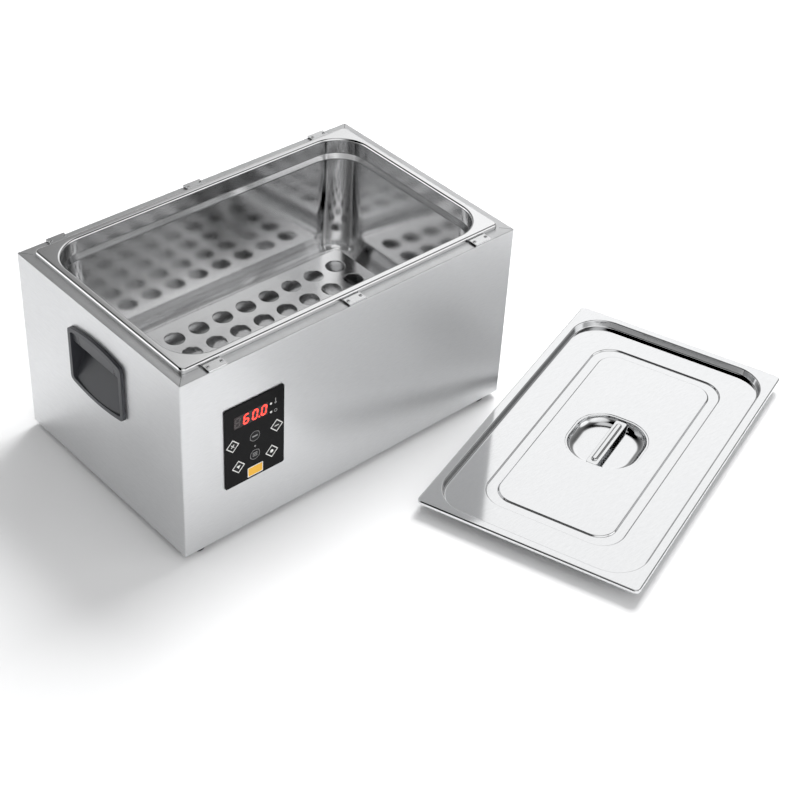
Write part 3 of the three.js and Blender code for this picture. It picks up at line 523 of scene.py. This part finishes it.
HANDLE_HALF, HANDLE_LOW, HANDLE_HIGH = 59.0, 161.0, 244.0
BULGE = 8.0                             # how far the long edges bow out
HANDLE_FACE = CASE_X + 5.3
POCKET_BACK = HANDLE_FACE - 26
POCKET_WALL = 1.6
CUP_INSET, MOUTH_INSET, OPENING_INSET = 4, 6, 3.5   # how far each lies inside the grip's outline
HOOD_TOP, HOOD_LOW = (HANDLE_FACE - 2.0, 243.5), (HANDLE_FACE - 4.85, 220.8)
HOOD_SEAM_DEPTH, HOOD_SEAM_WIDTH = 0.45, 0.5
HOOD_SEAMS_Y = (-38.5, 38.5)
PLUG = [(1.3, -0.6), (1.3, 0.1), (0.9, 0.25), (0.4, 0.1)]
PLUG_X, PLUG_Z = HANDLE_FACE - 4.2, 225.5


def handle_outline(shrink, steps=14):
    """The grip's outline in YZ, pulled in by shrink: bowed above and below, straight at the ends."""
    half, low, high = HANDLE_HALF - shrink, HANDLE_LOW + shrink, HANDLE_HIGH - shrink
    corner, lift = max(6 - shrink, 2), BULGE * 0.2
    top_pull, low_pull = (0, high + BULGE * 1.8), (0, low - BULGE * 1.6)
    points = [(half, low + corner), (half, high - corner)]
    points += curve_through((half, high - corner), (half, high), (half - corner, high + lift), 4)
    points += curve_through((half - corner, high + lift), top_pull, (-half + corner, high + lift), steps)
    points += curve_through((-half + corner, high + lift), (-half, high), (-half, high - corner), 4)
    points += [(-half, low + corner)]
    points += curve_through((-half, low + corner), (-half, low), (-half + corner, low - lift), 4)
    points += curve_through((-half + corner, low - lift), low_pull, (half - corner, low - lift), steps)
    points += curve_through((half - corner, low - lift), (half, low), (half, low + corner), 4)[:-1]
    return points


def side_handle(side):
    """A frame and a cup behind it, hollowed to a sloping floor with a hood over the fingers."""
    flip = (lambda part: part) if side == "right" else turned_half
    # The pocket's section as (x, z, fillet): sloping floor, back wall, hood and lip.
    pocket = eased([
        (HANDLE_FACE + 1, HANDLE_LOW - 4, 0), (HANDLE_FACE, HANDLE_LOW - 4, 0),
        (POCKET_BACK, 208, 5), (POCKET_BACK, 238, 4), (POCKET_BACK + 12, 238, 1),
        (HANDLE_FACE - 9, 223, 2), (HANDLE_FACE - 5, 220, 2),
        (HANDLE_FACE - 1.5, HANDLE_HIGH + 4, 0), (HANDLE_FACE + 1, HANDLE_HIGH + 4, 0)])
    frame_part = prism(handle_outline(0), CASE_X + 0.3, HANDLE_FACE, "x")
    cup_part = prism(handle_outline(CUP_INSET), POCKET_BACK - POCKET_WALL, HANDLE_FACE - 1, "x")
    mouth_part = prism(handle_outline(MOUTH_INSET), POCKET_BACK - 1, HANDLE_FACE + 1, "x")
    pocket_part = prism(pocket, -HANDLE_HALF, HANDLE_HALF, "y")
    body = bare_object(f"{side}_grip_moulding", flip(frame_part))
    carved(body, [bare_object("cup", flip(cup_part))], "UNION")
    mouth = bare_object("mouth", flip(mouth_part))
    carved(mouth, [bare_object("space", flip(pocket_part))], "INTERSECT")
    carved(body, [mouth])
    tidy_mesh(body.data)
    # Each seam is a thin near-black strip laid on the hood: painted shade in the seam's groove.
    section = [HOOD_TOP, HOOD_LOW] + [(x - HOOD_SEAM_DEPTH, z) for x, z in (HOOD_LOW, HOOD_TOP)]
    for number, y in enumerate(HOOD_SEAMS_Y, 1):
        seam = prism(section, y - HOOD_SEAM_WIDTH / 2, y + HOOD_SEAM_WIDTH / 2, "y")
        piece(f"{side}_grip_seam_{number}", flip(seam), painted_gap_shade)
        plug = turned(PLUG, 20, (PLUG_X, y, PLUG_Z), "x")
        piece(f"{side}_grip_screw_{number}", flip(plug), inlet_plastic, angle=50)
    return dressed(body, handle_plastic, bevel=1.1, segments=4, angle=35, slot="handle_plastic",
                   stands_for=(f"side_handle_{side}",))


for side in ("left", "right"):
    side_handle(side)

# ---------------------------------------------------------------- casing

CASE_EDGE, CASE_BEND = 2.5, 1.4         # radii of the upright corners and of the folds
CASE_FOOT_FLANGE = 26
WELL_INSET, WELL_CORNER = 8.5, 52
CUT_REACH = 5                           # how far a cutter stands clear on either side of a wall
DISPLAY_OPENING = ((-203, 182.5), (-146, 204.5))
INLET_OPENING = ((190.5, 21.5), (219.5, 90.5))


def casing():
    profile = eased([(CASE_FOOT_FLANGE, CASE_BOTTOM, 0), (0, CASE_BOTTOM, CASE_BEND),
                     (0, CASE_TOP, CASE_BEND), (8, CASE_TOP, 0)], 18)
    rings = []
    for inset, z in profile:
        radius = max(CASE_EDGE - inset, 0.4)
        rings.append([(u, v, z) for u, v in rounded_outline(CASE_X - inset, CASE_Y - inset, radius, 5)])
    well = rounded_outline(GN_X - WELL_INSET, GN_Y - WELL_INSET, WELL_CORNER, 5)
    rings.append([(u, v, CASE_TOP) for u, v in well])
    shell = bare_object("casing_sheet", lofted(rings, first=False, last=False))
    thickened(shell, SHEET, even=True)
    grips = prism(handle_outline(OPENING_INSET), -CASE_X - CUT_REACH, CASE_X + CUT_REACH, "x")
    windows = [bare_object("window", grips)]
    for wall, ((left, low), (right, high)) in ((-CASE_Y, DISPLAY_OPENING), (CASE_Y, INLET_OPENING)):
        outline = [(left, low), (right, low), (right, high), (left, high)]
        windows.append(bare_object("window", prism(outline, wall - CUT_REACH, wall + CUT_REACH, "y")))
    carved(shell, windows)
    return dressed(shell, casing_steel, angle=25, slot="casing_steel",
                   stands_for=("casing_front", "casing_back", "casing_left", "casing_right"))


casing()

# Welded mitres at the four corners of the top flange, each a thin near-black strip: painted shade in the
# mitre's groove.
MITRE_WIDTH, MITRE_PROUD, MITRE_SUNK = 0.5, 0.05, 0.3
MITRE_FROM_RIM, MITRE_FROM_EDGE = 0.3, 1.6
for xs in (-1, 1):
    for ys in (-1, 1):
        start = Vector((xs * (GN_X + MITRE_FROM_RIM), ys * (GN_Y + MITRE_FROM_RIM)))
        end = Vector((xs * (CASE_X - MITRE_FROM_EDGE), ys * (CASE_Y - MITRE_FROM_EDGE)))
        along = (end - start).normalized()
        across = Vector((-along.y, along.x)) * MITRE_WIDTH / 2
        outline = [tuple(start + across), tuple(start - across), tuple(end - across), tuple(end + across)]
        ends = f"{'back' if ys > 0 else 'front'}_{'right' if xs > 0 else 'left'}"
        piece(f"mitre_{ends}", prism(outline, CASE_TOP - MITRE_SUNK, CASE_TOP + MITRE_PROUD), painted_gap_shade,
              bevel=0.05, segments=1)

# ---------------------------------------------------------------- tank

TANK_FLOOR, COVE = 98.7, 42.0           # the floor's height, and the radius between wall and floor
WALL_FOOT = 21.73                       # how far the wall's foot lies inside the gastronorm outline
SHOULDER = [(14.5, 266, 7), (11.6, 274.5, 5)]   # inset, height and fillet of the step below the rim
RIM_FLAT, RIM_ROLL = 11.5, 3.2
# Corner radius at each distance inside the gastronorm outline.
TANK_CORNERS = [(0, 8), (3, 5.5), (8.5, 53), (RIM_FLAT, 50), (14.5, 47), (WALL_FOOT, 47),
                (WALL_FOOT + COVE, 5)]


def tank():
    """The tank's shell, ring by ring from the floor up over the shoulder and the rolled rim."""
    cove = [(WALL_FOOT + COVE * (1 - math.sin(a)), TANK_FLOOR + COVE * (1 - math.cos(a)))
            for a in (math.radians(9 * k) for k in range(10))]
    wall = eased([(WALL_FOOT, TANK_FLOOR + COVE, 0), *SHOULDER, (RIM_FLAT, RIM_TOP, RIM_ROLL),
                  (0, RIM_TOP, RIM_ROLL), (0, CASE_TOP + 0.3, 0)], 12)
    rings = []
    for inset, z in cove + wall:
        outline = rounded_outline(GN_X - inset, GN_Y - inset, between(TANK_CORNERS, inset), 16)
        rings.append([(u, v, z) for u, v in outline])
    obj = thickened(bare_object("tank_shell", lofted(rings, last=False)), SHEET)
    return dressed(obj, tank_steel, angle=50, slot="tank_steel", stands_for=("water_tank",))


tank()

# ---------------------------------------------------------------- rim clips with two tubular rivets each

CLIP_TOP, CLIP_X = CASE_TOP + 3.1, 222
RIVET = [(2.55, 0.0), (2.55, 0.35), (2.2, 0.75), (1.7, 0.9), (1.35, 0.8), (1.15, 0.4), (1.1, -0.5)]
# The thin disc set down in each rivet's bore is near-black: painted shade in the hole.
RIVET_BORE_SHADE = [(1.12, 0.3), (1.12, 0.32)]
RIVET_SPREAD, RIVET_Y = 10.2, 170.9

for end, ys in (("front", -1), ("back", 1)):
    for where, x in (("left", -CLIP_X), ("middle", 0), ("right", CLIP_X)):
        node = f"rim_clip_{end}_{where}"
        refined(node, clip_steel, bevel=0.4, slot="clip_steel")
        for number, dx in enumerate((-RIVET_SPREAD, RIVET_SPREAD), 1):
            spot = (x + dx, ys * RIVET_Y, CLIP_TOP)
            piece(f"{node}_rivet_{number}", turned(RIVET, 24, spot), clip_steel, slot="clip_steel", angle=50)
            piece(f"{node}_rivet_bore_shade_{number}", turned(RIVET_BORE_SHADE, 20, spot), painted_gap_shade)

# ---------------------------------------------------------------- false bottom

PLATE_X, PLATE_Y, PLATE_TOP = 218.5, 116.5, 126.0
PLATE_SHEET, PLATE_EDGE, PLATE_CORNER, PLATE_DEPTH = 2, 0.45, 10, 8
HOLES_ALONG, HOLES_ACROSS, HOLE_PITCH, HOLE_RADIUS = 10, 5, 41.4, 14.8


def false_bottom():
    outer = rounded_outline(PLATE_X, PLATE_Y, PLATE_CORNER, 8)
    inner = rounded_outline(PLATE_X - PLATE_SHEET, PLATE_Y - PLATE_SHEET, PLATE_CORNER - PLATE_SHEET, 8)
    holes = []
    for column in range(HOLES_ALONG):
        for row in range(HOLES_ACROSS):
            u = (column - (HOLES_ALONG - 1) / 2) * HOLE_PITCH
            v = (row - (HOLES_ACROSS - 1) / 2) * HOLE_PITCH
            holes.append(circle(u, v, HOLE_RADIUS, 40))
    sheet = punched("perforated_sheet", [outer] + holes, PLATE_SHEET, PLATE_EDGE, PLATE_TOP)
    skirt = band(outer, inner, PLATE_TOP - PLATE_DEPTH, PLATE_TOP - 2 * PLATE_EDGE, "z")
    piece("false_bottom_skirt", skirt, plate_steel, "false_bottom", slot="plate_steel", angle=40)
    return dressed(sheet, plate_steel, "false_bottom", angle=50, slot="plate_steel",
                   stands_for=("false_bottom_plate",))


false_bottom()
for side in ("left", "right"):
    refined(f"false_bottom_rail_{side}", plate_steel, "false_bottom", bevel=0.4, slot="plate_steel")

# ---------------------------------------------------------------- control panel and its print

PANEL_FRONT = -CASE_Y - 1.9
INK_FACE, INK_ROOT = PANEL_FRONT - 0.06, PANEL_FRONT + 0.02
# Middles of the keys on the panel, as (x, z).
DIAMONDS = {"cancel": (-203.8, 158.9), "set": (-133.2, 157.8), "hold": (-141.2, 118.8),
            "timer": (-195.0, 120.2)}
ROUNDS = {"temperature": (-168.4, 158.2), "program": (-168.4, 127.6)}
DIAMOND_OUTER, DIAMOND_INNER = 10.4, 8.6
RING_OUTER, RING_INNER = 7.9, 7.3

refined("panel_overlay", panel_film, bevel=0.35, slot="panel_film")
refined("display_window", lens_plastic, bevel=0.15, slot="lens")
for key in (*DIAMONDS, *ROUNDS):
    refined(f"key_{key}", key_film, f"{key}_key", bevel=0.12, slot="key_film")


def printed(name, parts, ink, body="bath"):
    """A thin raised print made of one or more parts."""
    return piece(name, merged(*parts), ink, body, smooth=False)


def ink_shape(points):
    return prism(points, INK_FACE, INK_ROOT, "y")


def ink_dot(u, v, radius, sides=24):
    return ink_shape(circle(u, v, radius, sides))


def ink_frame(outer, inner):
    return band(outer, inner, INK_FACE, INK_ROOT, "y")


def ink_ring(u, v, outer, inner, sides):
    return ink_frame(circle(u, v, outer, sides), circle(u, v, inner, sides))


def diamond(u, v, half):
    return [(u + half, v), (u, v + half), (u - half, v), (u, v - half)]


def stroke(u, v, length, width, degrees):
    """A straight bar about (u, v), turned by degrees from level."""
    a = math.radians(degrees)
    along = Vector((math.cos(a), math.sin(a))) * length / 2
    across = Vector((-math.sin(a), math.cos(a))) * width / 2
    middle = Vector((u, v))
    corners = (along + across, across - along, -along - across, along - across)
    return ink_shape([tuple(middle + c) for c in corners])


for key, (u, v) in DIAMONDS.items():
    outline = ink_frame(diamond(u, v, DIAMOND_OUTER), diamond(u, v, DIAMOND_INNER))
    printed(f"{key}_key_outline", [outline], white_ink, f"{key}_key")
# Each symbol is drawn about its key's middle.
DIAMOND_ICONS = {
    "cancel": lambda u, v: [stroke(u, v, 6.4, 1.2, 45), stroke(u, v, 6.4, 1.2, -45)],
    "set": lambda u, v: [stroke(u, v, 6.6, 1.2, 0)],
    "hold": lambda u, v: [ink_dot(u, v, 2.6, 28)],
    "timer": lambda u, v: [ink_shape([(u - 3.2, v + 2.0), (u + 3.2, v + 2.0), (u, v - 3.0)])],
}
ROUND_ICONS = {
    "temperature": lambda u, v: [stroke(u, v, 8.4, 2.2, 0)],
    "program": lambda u, v: [stroke(u, v + dv, 7.6, 1.1, 0) for dv in (-2.0, 0.4, 2.8)],
}
for key, icon in DIAMOND_ICONS.items():
    printed(f"{key}_key_icon", icon(*DIAMONDS[key]), white_ink, f"{key}_key")
for key, (u, v) in ROUNDS.items():
    printed(f"{key}_key_ring", [ink_ring(u, v, RING_OUTER, RING_INNER, 48)], grey_ink, f"{key}_key")
for key, icon in ROUND_ICONS.items():
    printed(f"{key}_key_icon", icon(*ROUNDS[key]), grey_ink, f"{key}_key")

# Small marks right of the display and between the round keys, with their middles as (x, z).
LIGHT_DOTS, LIGHT_RADIUS = ((-142.7, 198.0), (-142.5, 184.2)), 1.7
SMALL_DOT, SMALL_RADIUS = (-168.3, 141.5), 1.4
BULB, BULB_RADIUS = (-135.3, 196.9), 1.7
STEM, STEM_LENGTH, STEM_WIDTH = (-135.3, 200.9), 6.4, 1.3
MARK_RING, MARK_OUTER, MARK_INNER = (-135.1, 184.0), 2.5, 1.7
printed("panel_dots", [ink_dot(*dot, LIGHT_RADIUS) for dot in LIGHT_DOTS], white_ink)
printed("panel_small_dot", [ink_dot(*SMALL_DOT, SMALL_RADIUS)], grey_ink)
thermometer = [ink_dot(*BULB, BULB_RADIUS), stroke(*STEM, STEM_LENGTH, STEM_WIDTH, 90)]
printed("panel_thermometer", thermometer, grey_ink)
printed("panel_ring", [ink_ring(*MARK_RING, MARK_OUTER, MARK_INNER, 28)], grey_ink)

# A plain amber label with a pale border.
LABEL_MIDDLE = (-168.0, 101.6)
LABEL_X, LABEL_Z, LABEL_CORNER = 12.4, 7.8, 1.2
BORDER, FIELD_CORNER = 1.1, 0.5
label_edge = rounded_outline(LABEL_X, LABEL_Z, LABEL_CORNER, 4, *LABEL_MIDDLE)
field_edge = rounded_outline(LABEL_X - BORDER, LABEL_Z - BORDER, FIELD_CORNER, 4, *LABEL_MIDDLE)
printed("label_border", [ink_frame(label_edge, field_edge)], white_ink)
printed("label_field", [ink_shape(field_edge)], amber_ink)

# ---------------------------------------------------------------- seven-segment display

DIGIT_LEFT, DIGIT_LOW = -201.5, 185.4
DIGIT_PITCH, DIGIT_WIDTH, DIGIT_HEIGHT = 14.0, 9.2, 16.0
BAR, BAR_GAP, SLANT = 2.3, 0.25, 0.13
POINT_MIDDLE, POINT_RADIUS = (-161.4, DIGIT_LOW + 1.1), 1.15
SEGMENTS = {"0": "abcdef", "6": "acdefg", "8": "abcdefg"}


def segment(name, left):
    """One pointed bar of the digit that starts at left, lettered a to g in the usual order."""
    right, top, low = left + DIGIT_WIDTH, DIGIT_LOW + DIGIT_HEIGHT, DIGIT_LOW
    middle, half = (top + low) / 2, BAR / 2
    spans = {
        "a": ((left, top - half), (right, top - half)),
        "b": ((right - half, middle), (right - half, top)),
        "c": ((right - half, low), (right - half, middle)),
        "d": ((left, low + half), (right, low + half)),
        "e": ((left + half, low), (left + half, middle)),
        "f": ((left + half, middle), (left + half, top)),
        "g": ((left, middle), (right, middle)),
    }
    (u0, v0), (u1, v1) = spans[name]
    if v0 == v1:
        u0 += half + BAR_GAP
        u1 -= half + BAR_GAP
        points = [(u0, v0), (u0 + half, v0 + half), (u1 - half, v0 + half), (u1, v0), (u1 - half, v0 - half),
                  (u0 + half, v0 - half)]
    else:
        v0 += (half if v0 == low else 0) + BAR_GAP
        v1 -= (half if v1 == top else 0) + BAR_GAP
        points = [(u0, v0), (u0 + half, v0 + half), (u0 + half, v1 - half), (u0, v1), (u0 - half, v1 - half),
                  (u0 - half, v0 + half)]
    return ink_shape([(u + (v - low) * SLANT, v) for u, v in points])


# The first digit is dark; the other three are lit.
for index, digit in enumerate("8600"):
    left = DIGIT_LEFT + index * DIGIT_PITCH
    ink = unlit_segment if index == 0 else red_segment
    printed(f"digit_{index + 1}", [segment(name, left) for name in SEGMENTS[digit]], ink)
printed("decimal_point", [ink_dot(*POINT_MIDDLE, POINT_RADIUS, 20)], red_segment)

# ---------------------------------------------------------------- lid

# Corner radius at each distance inside the gastronorm outline.
LID_CORNERS = [(0, 8), (2, 6), (11.7, 51), (13.3, 49.5), (14.5, 48.5), (17, 47), (60, 36.6), (77, 27)]
LID_PANEL, LID_RIM, LID_GROOVE, LID_LIP = 14.0, 24.0, 12.0, 4.5
LID_SHEET = 0.9
DISH_X, DISH_Y, DISH_CORNER = 59.0, 55.5, 46.0
DISH_STEP, DISH_FLOOR, DISH_SPAN, DISH_RISE = 3.6, 0.9, 16, 11.9


def lid_pressing():
    """The lid's sheet, ring by ring from the middle of the dish out to the rim's lip."""
    rings = []

    def dish(by, z):
        outline = rounded_outline(DISH_X - by, DISH_Y - by, DISH_CORNER - by, 16)
        rings.append([(u, v, z) for u, v in outline])

    for k in range(11):
        a = math.radians(8.6 * k)
        dish(DISH_STEP + DISH_SPAN * (1 - math.sin(a)), DISH_FLOOR + DISH_RISE * (1 - math.cos(a)))
    for by, z in eased([(DISH_STEP, 12.2, 0), (3.4, 13.0, 0.4), (0.9, 13.2, 0.3), (0.5, LID_PANEL, 0.3),
                        (-2, LID_PANEL, 0)], 20)[1:]:
        dish(by, z)
    profile = eased([
        (80, LID_PANEL, 0), (76.6, LID_PANEL, 1.2), (75.2, LID_GROOVE, 1.0), (61.8, LID_GROOVE, 1.0),
        (60.4, LID_PANEL, 1.2), (15.6, LID_PANEL, 2.4), (13.2, LID_RIM, 2.0), (0, LID_RIM, 2.2),
        (0, LID_RIM - LID_LIP, 0)], 12)
    for inset, z in profile:
        outline = rounded_outline(GN_X - inset, GN_Y - inset, between(LID_CORNERS, inset), 16)
        rings.append([(u, v, z) for u, v in outline])
    obj = thickened(bare_object("lid_sheet", lofted(rings, last=False), LID), LID_SHEET)
    return dressed(obj, lid_steel, "lid", angle=50, slot="lid_steel", stands_for=("lid_pressing",))


GRIP_LOW = 9.8
STRAP_X, STRAP_Y, STRAP_CORNER, STRAP_EDGE = 53.5, 8.5, 3, 0.5
RIB_X, RIB_Y, RIB_CORNER, RIB_HEIGHT, RIB_ROUND = 46.5, 4.5, 4.4, 2.5, 3.4


def lid_grip():
    """A flat strap across the dish with a rounded rib along it."""
    strap = []
    for inset, rise in [(STRAP_EDGE, 0), (0, 0.4), (0, 1.0), (STRAP_EDGE, 1.4)]:
        outline = rounded_outline(STRAP_X - inset, STRAP_Y - inset, STRAP_CORNER, 8)
        strap.append([(u, v, GRIP_LOW + rise) for u, v in outline])
    rib = [[(u, v, GRIP_LOW + 1.3) for u, v in rounded_outline(RIB_X, RIB_Y, RIB_CORNER, 8)]]
    for k in range(9):
        a = math.radians(11.25 * k)
        by = RIB_ROUND * (1 - math.cos(a))
        outline = rounded_outline(RIB_X - by, RIB_Y - by, RIB_CORNER - by, 8)
        rib.append([(u, v, GRIP_LOW + 1.5 + RIB_HEIGHT * math.sin(a)) for u, v in outline])
    return piece("lid_grip_bar", merged(lofted(strap), lofted(rib)), grip_steel, "lid", LID, angle=50,
                 slot="lid_steel", stands_for=("lid_grip",))


lid_pressing()
lid_grip()

# ---------------------------------------------------------------- feet, base and back

for end in ("front", "back"):
    for side in ("left", "right"):
        refined(f"foot_{end}_{side}", foot_rubber, bevel=0.5, slot="foot_rubber", angle=40)
refined("base_plate", zinc_steel, flatten=False, bevel=0.3, slot="zinc_steel")
refined("mains_inlet", inlet_plastic, flatten=False, bevel=0.3, slot="inlet_plastic")
refined("power_rocker", inlet_plastic, "rocker", bevel=0.5, slot="inlet_plastic")
refined("fuse_drawer", inlet_plastic, "drawer", flatten=False, bevel=0.3, slot="inlet_plastic")

INLET_X, INLET_Z, INLET_FACE = 205.0, 52, CASE_Y + 2.8
SCREW_SPREAD = 18
PIN_SPOTS = ((-7, -2), (0, 2), (7, -2))
PIN_X, PIN_Z, PIN_CORNER, PIN_ROOT, PIN_TIP = 1.08, 2.08, 0.6, 164.6, INLET_FACE - 2.6
for number, dx in enumerate((-SCREW_SPREAD, SCREW_SPREAD), 1):
    head = turned(RIVET, 24, (INLET_X + dx, INLET_FACE, INLET_Z), "y")
    piece(f"inlet_screw_{number}", head, zinc_steel, slot="zinc_steel", angle=50)
for number, (dx, dz) in enumerate(PIN_SPOTS, 1):
    outline = rounded_outline(PIN_X, PIN_Z, PIN_CORNER, 3, INLET_X + dx, INLET_Z + dz)
    piece(f"inlet_pin_{number}", prism(outline, PIN_ROOT, PIN_TIP, "y"), nickel, bevel=0.3, slot="brass")

# ---------------------------------------------------------------- inner pieces that keep their CAD shape

# The rounding of each one's edges.
INNER = {
    "board_bracket": 0.3, "heater_pad": 0.4, "heater_clamp_plate": 0.3, "temperature_probe": 0.3,
    "probe_clip": 0.3, "safety_thermostat": 0.3, "power_board": 0.2, "heater_relay": 0.6,
    "terminal_block": 0.4, "earth_stud": 0.3, "control_board": 0.2, "display_module": 0.5, "tank_gasket": 0.6,
}
for node, edge in INNER.items():
    refined(node, SLOT_MATERIALS[NODE_SLOT[node]], NODE_BODY[node], bevel=edge, slot=NODE_SLOT[node])
for node in ("insulation_band", "wire_mains", "wire_heater", "wire_probe", "wire_panel", "wire_thermostat"):
    frame["nodes"][node].data.shade_smooth()
    frame["nodes"][node].data.set_sharp_from_angle(angle=math.radians(50))

# ---------------------------------------------------------------- floor, light and camera

FLOOR_HALF, FLOOR_CORNER = 9000, 4000


def floor():
    outline = rounded_outline(FLOOR_HALF, FLOOR_HALF, FLOOR_CORNER, 24)
    obj = bare_object("floor", ([(u, v, 0) for u, v in outline], [tuple(range(len(outline)))]))
    made = new_material("floor_paper", Roughness=0.85, Specular_IOR_Level=0.1)
    fibres = noise_of(made, 5.0, detail=3)
    drive(made, "Base Color", coloured(made, fibres, (0.865, 0.868, 0.872), (0.875, 0.878, 0.882)))
    obj.data.materials.append(made)


floor()

# Directions of the light, from the bath.
KEY_SIDE = Vector((0.51, 0.14, 0.85)).normalized()
TOP_SIDE = Vector((-0.05, -0.25, 0.97)).normalized()
OVERHEAD = Vector((0, 0, 1))
GLOW_SIDE = Vector((0.66, 0.43, 0.616)).normalized()
FRONT_SIDE = Vector((0.60, -0.69, 0.40)).normalized()
BROAD_SIDE = Vector((-0.27, -0.74, 0.62)).normalized()
BACK_SIDE = Vector((-0.69, 0.69, 0.24)).normalized()

# The sky's layers: a direction, a strength, and pairs of (cosine of the angle to that direction, brightness),
# the curve's two ends first. One layer runs from the horizon to overhead; the others are soft caps.
SKY_LAYERS = [
    (OVERHEAD, 1.0, ((0.0, 0.62), (1.0, 1.25), (0.10, 0.42), (0.28, 0.15), (0.70, 0.14), (0.90, 0.22),
                     (0.965, 1.1))),
    (GLOW_SIDE, 1.22, ((0.0, 0.0), (1.0, 1.0), (0.84, 0.0), (0.92, 0.13), (0.955, 0.60), (0.98, 0.97))),
    (FRONT_SIDE, 1.1, ((0.0, 0.0), (1.0, 1.0), (0.90, 0.0), (0.935, 0.30), (0.96, 0.85), (0.975, 1.0))),
    (BROAD_SIDE, 1.1, ((0.0, 0.0), (1.0, 1.0), (0.76, 0.0), (0.84, 0.35), (0.91, 0.85))),
    (BACK_SIDE, 1.1, ((0.0, 0.0), (1.0, 1.0), (0.88, 0.0), (0.92, 0.4), (0.95, 0.9))),
]


def sky():
    """What the steel mirrors: a bright horizon, a dim middle height, soft caps on four sides and overhead."""
    world = bpy.data.worlds.new("studio")
    bpy.context.scene.world = world
    world.use_nodes = True
    nodes, links = world.node_tree.nodes, world.node_tree.links
    coordinates = nodes.new("ShaderNodeTexCoord")

    def curve(source, stops):
        ramp = nodes.new("ShaderNodeFloatCurve")
        points = ramp.mapping.curves[0].points
        for index, (position, level) in enumerate(stops):
            point = points[index] if index < 2 else points.new(position, level)
            point.location = (position, level)
        ramp.mapping.update()
        links.new(source, ramp.inputs["Value"])
        return ramp.outputs["Value"]

    def towards(axis):
        dot = nodes.new("ShaderNodeVectorMath")
        dot.operation = "DOT_PRODUCT"
        dot.inputs[1].default_value = axis
        links.new(coordinates.outputs["Generated"], dot.inputs[0])
        return dot.outputs["Value"]

    total = None
    for direction, strength, stops in SKY_LAYERS:
        level = curve(towards(direction), stops)
        scaled = nodes.new("ShaderNodeMath")
        scaled.operation = "MULTIPLY_ADD"
        scaled.inputs[1].default_value = strength
        scaled.inputs[2].default_value = 0.0
        links.new(level, scaled.inputs[0])
        if total:
            links.new(total, scaled.inputs[2])
        total = scaled.outputs["Value"]
    links.new(total, nodes["Background"].inputs["Color"])


sky()


def softbox(name, direction, distance, size, power):
    """A square lamp, size in metres and power in watts, that the steel does not mirror."""
    light = bpy.data.lights.new(name, "AREA")
    light.size = size
    light.energy = power
    obj = linked(name, light)
    obj.location = BATH @ (direction * distance)
    obj.rotation_mode = "QUATERNION"
    obj.rotation_quaternion = (-direction).to_track_quat("-Z", "Y")
    obj.visible_glossy = False


LAMP_DISTANCE = 2600
softbox("key", KEY_SIDE, LAMP_DISTANCE, 1.3, 72)
softbox("top", TOP_SIDE, LAMP_DISTANCE, 3.4, 20)

CAMERA_SPOT = Vector((-1209.4, -1523.7, 1590.5))
CAMERA_AZIMUTH, CAMERA_ELEVATION, CAMERA_ROLL = -43.886, 38.813, 3.601
CAMERA_LENS, CAMERA_SENSOR = 78.54, 36


def camera():
    """A long lens above the front left corner, looking down on the bath and the lid."""
    azimuth, elevation, roll = (math.radians(d) for d in (CAMERA_AZIMUTH, CAMERA_ELEVATION, CAMERA_ROLL))
    right = Vector((math.cos(azimuth), math.sin(azimuth), 0))
    back = Vector((math.sin(azimuth) * math.cos(elevation), -math.cos(azimuth) * math.cos(elevation),
                   math.sin(elevation)))
    up = back.cross(right)
    turned_right = right * math.cos(roll) + up * math.sin(roll)
    turned_up = up * math.cos(roll) - right * math.sin(roll)
    data = bpy.data.cameras.new("camera")
    data.lens = CAMERA_LENS
    data.sensor_width = CAMERA_SENSOR
    obj = linked("camera", data)
    basis = Matrix((turned_right, turned_up, back)).transposed().to_4x4()
    obj.matrix_world = Matrix.Translation(BATH @ CAMERA_SPOT) @ basis
    bpy.context.scene.camera = obj


camera()
view = bpy.context.scene.view_settings
view.view_transform = "Standard"
view.look = "None"
view.exposure = 0.0
